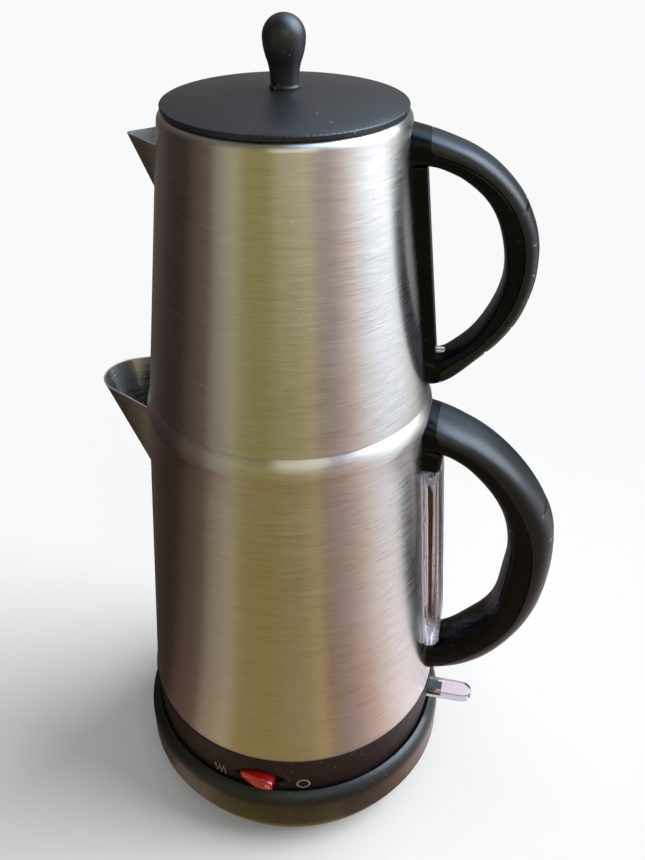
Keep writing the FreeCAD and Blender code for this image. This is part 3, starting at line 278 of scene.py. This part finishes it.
MATERIALS = {
    "brushed_steel": brushed_steel(),
    "screw_steel": plain_metal("screw_steel", (0.62, 0.62, 0.60), 0.25),
    "aluminium": plain_metal("aluminium", (0.75, 0.75, 0.77), 0.4),
    "brass": plain_metal("brass", (0.72, 0.52, 0.24), 0.25),
    "rubber": plastic("rubber", (0.025, 0.025, 0.025), 0.75, dust=0.3),
    "base_plastic": plastic("base_plastic", (0.010, 0.010, 0.009), 0.34, grain=700.0,
                            grain_depth=0.12),
    "band_plastic": plastic("band_plastic", (0.017, 0.009, 0.010), 0.50, grain=800.0,
                            grain_depth=0.12, gloss_level=0.2),
    "handle_satin": plastic("handle_satin", (0.004, 0.0045, 0.005), 0.36, grain_depth=0.12,
                            dust=0.3, gloss_level=0.45),
    "handle_gloss": plastic("handle_gloss", (0.002, 0.002, 0.0025), 0.26, grain_depth=0.03,
                            dust=0.2, gloss_level=0.14),
    "lid_plastic": plastic("lid_plastic", (0.010, 0.010, 0.012), 0.38, grain=800.0,
                           grain_depth=0.14, dust=0.8, gloss_level=0.6),
    "inner_plastic": plastic("inner_plastic", (0.035, 0.035, 0.038), 0.5),
    "clear_plastic": clear_plastic("clear_plastic", (0.90, 0.90, 0.97, 1.0)),
    "clear_smoky": clear_plastic("clear_smoky", (0.60, 0.61, 0.70, 1.0)),
    "silicone": silicone(),
    "rocker_red": rocker_red(),
}
INK = print_ink("ink_pale", (0.30, 0.22, 0.19))
INK_WHITE = print_ink("ink_white", (0.85, 0.72, 0.70))


# Finish of the CAD nodes

SHARP = math.radians(28)
WELD = 0.002 * MM
OWN_LOOK = {"gauge_gasket": "silicone", "power_lever": "clear_smoky"}


def smooth_tool():
    """Geometry nodes that weld a node's facets and shade them smooth up to sharp edges."""
    tree = bpy.data.node_groups.new("smooth_by_angle", "GeometryNodeTree")
    tree.interface.new_socket("Geometry", in_out="INPUT", socket_type="NodeSocketGeometry")
    tree.interface.new_socket("Geometry", in_out="OUTPUT", socket_type="NodeSocketGeometry")
    nodes, links = tree.nodes, tree.links
    start, end = nodes.new("NodeGroupInput"), nodes.new("NodeGroupOutput")
    weld = nodes.new("GeometryNodeMergeByDistance")
    weld.inputs["Distance"].default_value = WELD
    angle = nodes.new("GeometryNodeInputMeshEdgeAngle")
    sharp = nodes.new("FunctionNodeCompare")
    sharp.data_type = "FLOAT"
    sharp.operation = "GREATER_THAN"
    sharp.inputs["B"].default_value = SHARP
    faces = nodes.new("GeometryNodeSetShadeSmooth")
    edges = nodes.new("GeometryNodeSetShadeSmooth")
    edges.domain = "EDGE"
    edges.inputs["Shade Smooth"].default_value = False
    links.new(start.outputs[0], weld.inputs["Geometry"])
    links.new(weld.outputs[0], faces.inputs["Geometry"])
    links.new(faces.outputs[0], edges.inputs["Geometry"])
    links.new(angle.outputs["Unsigned Angle"], sharp.inputs["A"])
    links.new(sharp.outputs[0], edges.inputs["Selection"])
    links.new(edges.outputs[0], end.inputs[0])
    return tree


SMOOTH = smooth_tool()


def smooth(piece):
    piece.modifiers.new("smooth", "NODES").node_group = SMOOTH


def dress_nodes():
    slots = {part["node"]: part["material_slot"] for part in frame["record"]["subparts"]}
    for name, node in frame["nodes"].items():
        node.data.materials.clear()
        node.data.materials.append(MATERIALS[OWN_LOOK.get(name, slots[name])])
        smooth(node)


# New pieces

def surface_tree(name):
    """Search tree over the surface of a CAD node."""
    node = frame["nodes"][name]
    points = [node.matrix_world @ vertex.co for vertex in node.data.vertices]
    return BVHTree.FromPolygons(points, [list(face.vertices) for face in node.data.polygons])


def new_piece(name, points, faces, body, paint):
    """Smooth-shaded mesh that rides on a body."""
    mesh = bpy.data.meshes.new(name)
    mesh.from_pydata(points, [], faces)
    mesh.materials.append(paint)
    mesh.update()
    made = bpy.data.objects.new(name, mesh)
    scene.collection.objects.link(made)
    for polygon in mesh.polygons:
        polygon.use_smooth = True
    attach(made, body)
    return made


# Printed marks and the rocker's surround

def ribbon(path, width, closed=False):
    """Left and right edge points of a stroke of that width along a flat path."""
    count = len(path)
    left, right = [], []
    for i, (u, v) in enumerate(path):
        before = path[(i - 1) % count] if closed or i else path[i]
        after = path[(i + 1) % count] if closed or i < count - 1 else path[i]
        du, dv = after[0] - before[0], after[1] - before[1]
        length = math.hypot(du, dv)
        nu, nv = -dv / length * width / 2, du / length * width / 2
        left.append((u + nu, v + nv))
        right.append((u - nu, v - nv))
    return left, right


def strokes(name, paths, width, place, body, paint):
    """One piece of flat strokes; place turns a flat (u, v) in mm into a point of the object."""
    points, faces = [], []
    for path, closed in paths:
        left, right = ribbon(path, width, closed)
        first = len(points)
        for a, b in zip(left, right):
            points += [place(*a), place(*b)]
        steps = len(path) if closed else len(path) - 1
        for i in range(steps):
            j = (i + 1) % len(path)
            faces.append((first + 2 * i, first + 2 * i + 1, first + 2 * j + 1, first + 2 * j))
    return new_piece(name, points, faces, body, paint)


def circle(u, v, radius, steps=40):
    """Path of that many points round a centre."""
    return [(u + radius * math.cos(2 * math.pi * k / steps),
             v + radius * math.sin(2 * math.pi * k / steps)) for k in range(steps)]


BAND_FOOT = (70.2, 27.3)             # radius and height of the band's lower edge, mm
BAND_TOP = (71.7, 58.0)
INK_LIFT = 0.06                      # mm
ICON_TURN = 16.7                     # degrees from the front centre to each icon
RING_HEIGHT, RING_RADIUS, RING_LINE = 40.6, 2.9, 0.9
HEAT_HEIGHT, HEAT_HALF, HEAT_LINE = 40.3, 3.0, 0.6
WAVE_PLACES = (-2.3, 0.0, 2.3)
WAVE_SWING = 0.55
WAVE_STEPS = 16


def on_band(turn, height):
    """Places a flat mark on the band, turned round it by degrees, centred at that height."""
    def place(u, v):
        z = height + v
        share = (z - BAND_FOOT[1]) / (BAND_TOP[1] - BAND_FOOT[1])
        radius = BAND_FOOT[0] + share * (BAND_TOP[0] - BAND_FOOT[0]) + INK_LIFT
        angle = math.radians(turn) + u / radius
        return (radius * math.sin(angle) * MM, -radius * math.cos(angle) * MM, z * MM)
    return place


def band_icons():
    """Ring to the right of the rocker and three heat waves to its left."""
    strokes("ring_icon", [(circle(0, 0, RING_RADIUS), True)], RING_LINE,
            on_band(ICON_TURN, RING_HEIGHT), "kettle", INK)
    waves = []
    for u in WAVE_PLACES:
        wave = [(u + WAVE_SWING * math.sin(2 * math.pi * k / WAVE_STEPS),
                 -HEAT_HALF + 2 * HEAT_HALF * k / WAVE_STEPS) for k in range(WAVE_STEPS + 1)]
        waves.append((wave, False))
    strokes("heat_icon", waves, HEAT_LINE, on_band(-ICON_TURN, HEAT_HEIGHT), "kettle", INK)


ROCKER_HEIGHT = 43.0                 # mm, as all sizes of the rocker's surround and marks
SURROUND_DEPTH = 0.9                 # below the band's face
SURROUND_OUTER = (14.0, 6.6)         # half width and half height
SURROUND_INNER = (12.4, 4.6)
SURROUND_PLATE = 0.4
MARK_LINE = 0.32
MARK_RING = (4.6, -0.4, 1.0, 24)     # place, radius and points
MARK_DASH = ((-7.4, 0.4), (-6.6, 0.4), (-5.8, 0.4))


def lens_outline(half_w, half_h, steps=24):
    """Closed outline of two arcs that meet in a point at each side."""
    radius = (half_w ** 2 + half_h ** 2) / (2 * half_h)
    top = []
    for k in range(steps):
        u = -half_w + 2 * half_w * k / steps
        top.append((u, math.sqrt(radius ** 2 - u ** 2) - radius + half_h))
    return top + [(-u, -v) for u, v in top]


def rocker_surround():
    """Dark frame in the recess between the band and the rocker."""
    place = on_band(0.0, ROCKER_HEIGHT)
    sunk = Vector((0, SURROUND_DEPTH * MM, 0))
    points = []
    for size in (SURROUND_OUTER, SURROUND_INNER):
        points += [Vector(place(u, v)) + sunk for u, v in lens_outline(*size)]
    count = len(points) // 2
    faces = [(i, (i + 1) % count, count + (i + 1) % count, count + i) for i in range(count)]
    surround = new_piece("rocker_surround", points, faces, "kettle",
                         MATERIALS["base_plastic"])
    plate = surround.modifiers.new("plate", "SOLIDIFY")
    plate.thickness = SURROUND_PLATE * MM
    plate.offset = 0.0


def rocker_marks():
    """Dash and ring printed on the rocker's two ends."""
    rocker = surface_tree("warm_rocker")

    def place(u, v):
        start = Vector((u * MM, -BESIDE, (ROCKER_HEIGHT + v) * MM))
        face = rocker.ray_cast(start, Vector((0, 1, 0)))[0]
        return face - Vector((0, INK_LIFT * MM, 0))

    strokes("rocker_ring", [(circle(*MARK_RING), True)], MARK_LINE, place, "rocker",
            INK_WHITE)
    strokes("rocker_dash", [(MARK_DASH, False)], MARK_LINE, place, "rocker", INK_WHITE)


# Handles, reshaped from the CAD's curves with fully rounded sections

ROUNDNESS = 2.9                      # power of the sections' rounded outline
SIDE_STEPS = 16                      # points along each side of a section
SEAM_GAP = 0.10 * MM
SEAM_EDGE = 0.35 * MM                # chamfer on each side of the seam
BESIDE_SEAM = 0.15                   # share of a step between two sections
END_SHARE = 0.985                    # share of the depth where a root's side is closed
END_WIDTH = 0.6                      # width of its closing face, as a share of the side's there
GRIP_DEPTH = 0.9 * MM
GRIP_HALF = 10.5 * MM                # half length of a grip groove across the handle
GRIP_STEPS = ((-0.9, 0.0), (-0.4, 1.0), (0.1, 1.0), (0.4, 0.0))    # (mm along, share of depth)
GRIP_CLEAR = 0.035                   # radians to each side of a groove with no other section
KEEP_IN = 0.1 * MM                   # keeps the smoothed handles inside the CAD's box
ROOT_SCALE = 0.045                   # metres along a root that count as one radian of the loop
FEELS = 160                          # places along a handle where the CAD's is felt
STATIONS = 190                       # evenly spaced sections of the new handle
SMOOTHINGS = 30
EDGE_SPAN = 4                        # places over which the course's slope is taken
OUTSIDE = 0.3                        # metres from the hub to beyond the handle
WIDTH_SHARES = (0.35, 0.55, 0.75)    # shares of the depth where the width is felt

# Each handle: hub of its rays, angles of its grooves (first, step, count in degrees), and for
# both roots where the feeling ends, where the wall is, and the heights of the ends at the wall.
KETTLE_GRIP = dict(part="kettle", turn=0.0, centre=(0.075, 0.150), grips=(31.0, 18.0, 6),
                   top=dict(felt=0.069, wall=0.0575, ends=(0.1949, 0.2147)),
                   low=dict(felt=0.074, wall=0.0655, ends=(0.0912, 0.0648)))
TEAPOT_GRIP = dict(part="teapot", turn=4.5, centre=(0.063, 0.277), grips=(45.0, 22.0, 6),
                   top=dict(felt=0.0575, wall=0.0440, ends=(0.3127, 0.3281)),
                   low=dict(felt=0.0615, wall=0.0535, ends=(0.2436, 0.2262)))


def spread(first, last, count):
    """Evenly spaced numbers from first to last."""
    return [first + (last - first) * k / (count - 1) for k in range(count)]


def smoothed(values):
    """Values averaged with their neighbours many times, running on straight at both ends."""
    for _ in range(SMOOTHINGS):
        inner = [0.25 * a + 0.5 * b + 0.25 * c for a, b, c in zip(values, values[1:], values[2:])]
        values = [2 * inner[0] - inner[1], *inner, 2 * inner[-1] - inner[-2]]
    return values


def with_root(rows, ends):
    """Rows with the first ones, not felt, bent from the felt course to the ends at the wall."""
    felt = next(k for k, row in enumerate(rows) if row)
    edge, beyond = rows[felt], rows[felt + EDGE_SPAN]
    filled = []
    for k in range(felt):
        steps = felt - k
        values = []
        for here, there, end in zip(edge, beyond, ends):
            slope = (here - there) / EDGE_SPAN
            bend = end - here - slope * felt
            values.append(here + slope * steps + bend * (steps / felt) ** 2)
        filled.append((*values, edge[2]))
    return filled + rows[felt:]


class HandleCurves:
    """Inner, outer and seam curve and width of a CAD handle, smoothed along its loop."""

    def __init__(self, spec):
        part, self.turn = spec["part"], math.radians(spec["turn"])
        self.shell = surface_tree(part + "_handle_shell")
        self.liner = surface_tree(part + "_handle_liner")
        self.centre = spec["centre"]
        self.first = self.place_of(spec["top"]["wall"], 1)
        self.last = self.place_of(spec["low"]["wall"], -1)
        top, low = self.place_of(spec["top"]["felt"], 1), self.place_of(spec["low"]["felt"], -1)
        rows = [self.measure(at) if low <= at <= top else None
                for at in spread(self.first, self.last, FEELS)]
        rows = with_root(rows, [abs(z - self.centre[1]) for z in spec["top"]["ends"]])
        rows = with_root(rows[::-1], [abs(z - self.centre[1]) for z in spec["low"]["ends"]])
        self.columns = [smoothed(column) for column in zip(*rows[::-1])]

    def place_of(self, x, side):
        """Place along the handle of that x in its upper (1) or lower (-1) root."""
        return side * (0.5 * math.pi + (self.centre[0] - x) / ROOT_SCALE)

    def feeler(self, at):
        """Start and direction in the handle's plane of the ray at that place along it."""
        x, z = self.centre
        if abs(at) <= 0.5 * math.pi:
            return (x, z), (math.cos(at), math.sin(at))
        return (x - (abs(at) - 0.5 * math.pi) * ROOT_SCALE, z), (0.0, math.copysign(1.0, at))

    def point(self, x, z, y=0.0):
        """Point of the object from its place in the handle's own plane."""
        return Vector((x * math.cos(self.turn) - y * math.sin(self.turn),
                       x * math.sin(self.turn) + y * math.cos(self.turn), z))

    def measure(self, at):
        """Distance of the inner and the outer side from the hub, and width, at that place."""
        (x, z), (along, up) = self.feeler(at)
        start = self.point(x, z)
        way = self.point(along, up)
        inner = self.liner.ray_cast(start, way)[3]
        outer = OUTSIDE - self.nearest(start + OUTSIDE * way, -way) - KEEP_IN
        side = self.point(0, 0, 1)
        gaps = [self.nearest(start + way * (inner + (outer - inner) * share) + BESIDE * side, -side)
                for share in WIDTH_SHARES]
        return inner, outer, 2 * (BESIDE - min(gaps))

    def nearest(self, start, way):
        """Distance to the shell or the liner along a ray, far more than any size if it misses."""
        hits = [tree.ray_cast(start, way)[3] for tree in (self.shell, self.liner)]
        return min(hit or 1.0 for hit in hits)

    def section(self, at):
        """Inner end, outer end and width at that place along the handle."""
        place = (at - self.first) / (self.last - self.first) * (FEELS - 1)
        low = min(max(int(place), 0), FEELS - 2)
        inner, outer, width = (c[low] + (c[low + 1] - c[low]) * (place - low)
                               for c in self.columns)
        (x, z), (along, up) = self.feeler(at)
        return (x + inner * along, z + inner * up), (x + outer * along, z + outer * up), width

    def seam(self, inner, outer):
        """Share of the section's depth at which the shell starts, None where it has none."""
        a, b = self.point(*inner), self.point(*outer)
        hit = self.shell.ray_cast(a, (b - a).normalized(), (b - a).length)[3]
        share = (hit or 0.0) / (b - a).length
        return share if 0.1 < share < 0.9 else None


def handle_stations(curves, spec):
    """Sections from the wall round the loop to the wall: ends, width, seam and grip depth.

    Where the shell starts or stops, one more section of the liner alone stands just beside it.
    """
    start, step, count = spec["grips"]
    grips = [math.radians(start - step * k) for k in range(count)]
    places = [(at, 0.0) for at in spread(curves.first, curves.last, STATIONS)
              if min(abs(at - grip) for grip in grips) > GRIP_CLEAR]
    reach = curves.section(0.0)[1][0] - curves.centre[0]
    for grip in grips:
        places += [(grip - offset * MM / reach, deep) for offset, deep in GRIP_STEPS]
    places.sort(reverse=True)
    made = []
    for k, (at, deep) in enumerate(places):
        inner, outer, width = curves.section(at)
        seam = curves.seam(inner, outer)
        if made and (seam is None) != (made[-1][3] is None):
            share = BESIDE_SEAM if made[-1][3] is None else 1 - BESIDE_SEAM
            between = curves.section(at + (places[k - 1][0] - at) * share)
            made.append((*between, None, 0.0))
        made.append((inner, outer, width, seam, deep))
    return made


def rounded(depth, width, low, high):
    """(u, v) points of the rounded section's side from share low to share high of its depth."""
    def turn_at(share):
        c = 1 - 2 * share
        return math.acos(math.copysign(abs(c) ** (ROUNDNESS / 2), c))

    start, end = turn_at(low), turn_at(high)
    side = []
    for k in range(SIDE_STEPS + 1):
        turn = start + (end - start) * k / SIDE_STEPS
        c, s = math.cos(turn), math.sin(turn)
        side.append((0.5 * depth * (1 - math.copysign(abs(c) ** (2 / ROUNDNESS), c)),
                     0.5 * width * abs(s) ** (2 / ROUNDNESS)))
    return side


def handle_ring(curves, station, is_shell):
    """Closed ring of points of the shell's or the liner's part of one section."""
    inner, outer, width, seam, deep = station
    depth = math.dist(inner, outer)
    if is_shell:
        cut = seam + SEAM_GAP / depth
        side = rounded(depth, width, cut + SEAM_EDGE / depth, 1.0)
        side = [(cut * depth, side[0][1] - SEAM_EDGE)] + side[:-1]
    elif seam is None:
        side = rounded(depth, width, 0.0, END_SHARE)
        side = side[1:] + [(depth, END_WIDTH * side[-1][1])]
    else:
        side = rounded(depth, width, 0.0, seam - SEAM_EDGE / depth)
        side = side[1:] + [(seam * depth, side[-1][1] - SEAM_EDGE)]
    ring = side + [(u, -v) for u, v in reversed(side)]
    along = ((outer[0] - inner[0]) / depth, (outer[1] - inner[1]) / depth)
    points = []
    for u, v in ring:
        if is_shell and deep and u > 0.5 * depth and abs(v) < GRIP_HALF:
            u -= GRIP_DEPTH * deep * (1 - (v / GRIP_HALF) ** 2)
        points.append(curves.point(inner[0] + along[0] * u, inner[1] + along[1] * u, v))
    return points


def skin(name, rings, body, paint):
    """Closed surface through rings of equally many points."""
    count = len(rings[0])
    faces = [list(range(count))[::-1], [(len(rings) - 1) * count + j for j in range(count)]]
    for i in range(len(rings) - 1):
        for j in range(count):
            k = (j + 1) % count
            faces.append((i * count + j, i * count + k, (i + 1) * count + k, (i + 1) * count + j))
    made = new_piece(name, [p for ring in rings for p in ring], faces, body, paint)
    shape = bmesh.new()
    shape.from_mesh(made.data)
    bmesh.ops.recalc_face_normals(shape, faces=shape.faces)
    shape.to_mesh(made.data)
    shape.free()
    smooth(made)
    return made


def rounded_block(name, body, corners, width, edge, turn):
    """Black prism over a four-cornered outline in the handle's plane, with rounded edges."""
    rings = []
    for y in (-0.5 * width, 0.5 * width):
        rings.append([Matrix.Rotation(math.radians(turn), 3, "Z") @ Vector((x, y, z))
                      for x, z in corners])
    made = skin(name, rings, body, MATERIALS["handle_gloss"])
    rim = made.modifiers.new("edge", "BEVEL")
    rim.width = edge
    rim.segments = 4
    made.modifiers.move(1, 0)


def make_handle(spec):
    """Liner and shell of one handle, in place of the CAD's."""
    part = spec["part"]
    curves = HandleCurves(spec)
    stations = handle_stations(curves, spec)
    inner = [handle_ring(curves, station, False) for station in stations]
    outer = [handle_ring(curves, station, True) for station in stations if station[3] is not None]
    liner = skin(part + "_grip_inner", inner, part, MATERIALS["handle_gloss"])
    shell = skin(part + "_grip_outer", outer, part, MATERIALS["handle_satin"])
    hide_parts(part + "_handle_liner")
    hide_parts(part + "_handle_shell")


# Corners (x, z), width and edge of the two forms beside the handles
GAUGE_FRAME = dict(corners=((0.0575, 0.1903), (0.0672, 0.1903), (0.0668, 0.200), (0.0570, 0.202)),
                   width=0.0274, edge=0.0022, turn=KETTLE_GRIP["turn"])
TEAPOT_STRIP = dict(corners=((0.0538, 0.236), (0.0604, 0.236), (0.0512, 0.315), (0.0446, 0.315)),
                    width=0.015, edge=0.0008, turn=TEAPOT_GRIP["turn"])


def make_handles():
    make_handle(KETTLE_GRIP)
    make_handle(TEAPOT_GRIP)
    rounded_block("gauge_frame", "kettle", **GAUGE_FRAME)
    rounded_block("teapot_strip", "teapot", **TEAPOT_STRIP)


# Room, floor and lights

# Room as glossy rays see it: (degrees round from the front, light) beside and above the object,
# and (metres from the axis, tint) of the table.
ROOM = (
    (-180, (0.30, 0.27, 0.24)), (-120, (0.10, 0.08, 0.07)), (-98, (0.050, 0.036, 0.032)),
    (-80, (0.045, 0.034, 0.028)), (-66, (0.14, 0.10, 0.075)), (-54, (0.17, 0.13, 0.085)),
    (-44, (0.42, 0.39, 0.31)), (-30, (0.56, 0.52, 0.36)), (-20, (0.42, 0.36, 0.15)),
    (0, (0.40, 0.35, 0.125)), (18, (0.42, 0.36, 0.16)), (32, (0.58, 0.48, 0.22)),
    (37, (0.42, 0.31, 0.21)), (50, (0.50, 0.39, 0.34)), (62, (0.78, 0.58, 0.48)),
    (74, (1.05, 0.98, 0.96)), (88, (1.25, 1.30, 1.45)), (106, (1.35, 1.45, 1.60)),
    (124, (1.20, 1.20, 1.18)), (137, (0.26, 0.28, 0.31)), (150, (0.06, 0.06, 0.075)),
    (165, (0.25, 0.27, 0.30)), (180, (0.30, 0.27, 0.24)),
)
CEILING = (
    (-180, (1.00, 1.10, 1.30)), (-165, (0.70, 0.72, 0.78)), (-140, (0.45, 0.42, 0.40)),
    (-90, (0.20, 0.20, 0.20)), (0, (0.14, 0.14, 0.08)), (20, (0.12, 0.12, 0.05)),
    (50, (0.50, 0.58, 0.75)), (80, (2.20, 2.90, 4.20)), (120, (3.40, 4.60, 6.60)),
    (155, (3.00, 4.00, 5.60)), (180, (1.40, 1.70, 2.10)),
)
TABLE = (
    (0.10, (1.05, 0.84, 0.78)), (0.20, (1.00, 0.82, 0.76)), (0.35, (0.84, 0.74, 0.68)),
    (0.50, (0.74, 0.72, 0.66)), (0.62, (0.86, 0.86, 0.84)), (0.75, (1.00, 1.00, 1.00)),
)
TABLE_LIGHT = 0.9
CEILING_FROM, CEILING_FULL = 0.35, 0.8    # upward part of the direction
BACKDROP = grey(0.947)               # the photograph's background
PLAIN_LIGHT, PLAIN_STRENGTH = grey(0.80), 0.42
FLOOR_HALF = 3.0
FLOOR_FADE = (0.24, 0.5)             # metres from the axis over which it turns into the backdrop


def room_light(s, source, room):
    """Light of the room by its direction round the object."""
    axes = s.node("SeparateXYZ", {0: source})
    back = s.math("MULTIPLY", axes.outputs[1], -1.0)
    angle = s.math("ARCTAN2", axes.outputs[0], back)
    share = s.between(angle, -math.pi, math.pi, 0.0, 1.0)
    return s.ramp(share, [((turn + 180) / 360, light) for turn, light in room], "EASE")


def seen_directly(s, path):
    return s.math("MAXIMUM", path.outputs["Is Camera Ray"], path.outputs["Is Transmission Ray"])


def make_world():
    world = bpy.data.worlds.new("studio")
    scene.world = world
    s = Shade(world)
    path = s.node("LightPath")
    seen = s.node("TexCoord").outputs["Generated"]
    height = s.node("SeparateXYZ", {0: seen}).outputs[2]
    room = s.mix(s.between(height, CEILING_FROM, CEILING_FULL, 0.0, 1.0),
                 room_light(s, seen, ROOM), room_light(s, seen, CEILING))
    glossy = s.node("Background", {0: room, 1: 1.0})
    plain = s.node("Background", {0: PLAIN_LIGHT, 1: PLAIN_STRENGTH})
    backdrop = s.node("Background", {0: BACKDROP, 1: 1.0})
    first = s.node("MixShader", {0: path.outputs["Is Glossy Ray"], 1: plain, 2: glossy})
    s.finish(s.node("MixShader", {0: seen_directly(s, path), 1: first, 2: backdrop}),
             "OutputWorld")


def make_floor():
    mesh = bpy.data.meshes.new("floor")
    corners = [(a * FLOOR_HALF, b * FLOOR_HALF, 0) for a, b in ((-1, -1), (1, -1), (1, 1), (-1, 1))]
    mesh.from_pydata(corners, [], [(0, 1, 2, 3)])
    floor = bpy.data.objects.new("floor", mesh)
    scene.collection.objects.link(floor)
    made, s = material("floor")
    path = s.node("LightPath")
    where = s.node("TexCoord").outputs["Object"]
    away = s.node("VectorMath", {0: where}, operation="LENGTH").outputs["Value"]
    matte = s.node("BsdfDiffuse", {0: grey(0.93)})
    backdrop = s.node("Emission", {0: BACKDROP, 1: 1.0})
    far = s.math("MULTIPLY", seen_directly(s, path), s.between(away, *FLOOR_FADE, 0.0, 1.0))
    seen = s.node("MixShader", {0: far, 1: matte, 2: backdrop})
    # To glossy rays the floor glows with the room's light, tinted warmer near the axis: a painted
    # reflection.
    tint = s.ramp(away, TABLE)
    table = s.node("Mix", {6: room_light(s, where, ROOM), 7: tint}, data_type="RGBA",
                   blend_type="MULTIPLY")
    table.inputs[0].default_value = 1.0
    room = s.node("Emission", {0: table.outputs[2], 1: TABLE_LIGHT})
    s.finish(s.node("MixShader", {0: path.outputs["Is Glossy Ray"], 1: seen, 2: room}))
    mesh.materials.append(made)


def lamp(name, place, aim, size, power, colour):
    data = bpy.data.lights.new(name, "AREA")
    data.shape = "RECTANGLE"
    data.size, data.size_y = size
    data.energy = power
    data.color = colour
    made = bpy.data.objects.new(name, data)
    scene.collection.objects.link(made)
    made.location = place
    made.rotation_euler = (Vector(aim) - Vector(place)).to_track_quat("-Z", "Y").to_euler()


def sun(turn, rise, strength, angle, colour):
    """Wide even light from that direction, in degrees round from the front and up."""
    data = bpy.data.lights.new("sky_window", "SUN")
    data.energy = strength
    data.angle = math.radians(angle)
    data.color = colour
    made = bpy.data.objects.new("sky_window", data)
    scene.collection.objects.link(made)
    level = math.cos(math.radians(rise))
    towards = Vector((math.sin(math.radians(turn)) * level, -math.cos(math.radians(turn)) * level,
                      math.sin(math.radians(rise))))
    made.rotation_euler = towards.to_track_quat("Z", "Y").to_euler()


def make_lights():
    sun(turn=112, rise=38, strength=3.3, angle=55, colour=(0.99, 1.0, 1.0))
    lamp("fill", place=(0.5, -1.2, 1.0), aim=(0, 0, 0.15), size=(1.0, 1.0), power=3.0,
         colour=(1.0, 0.98, 0.93))


make_camera()
dress_nodes()
band_icons()
rocker_surround()
rocker_marks()
make_handles()
make_world()
make_floor()
make_lights()
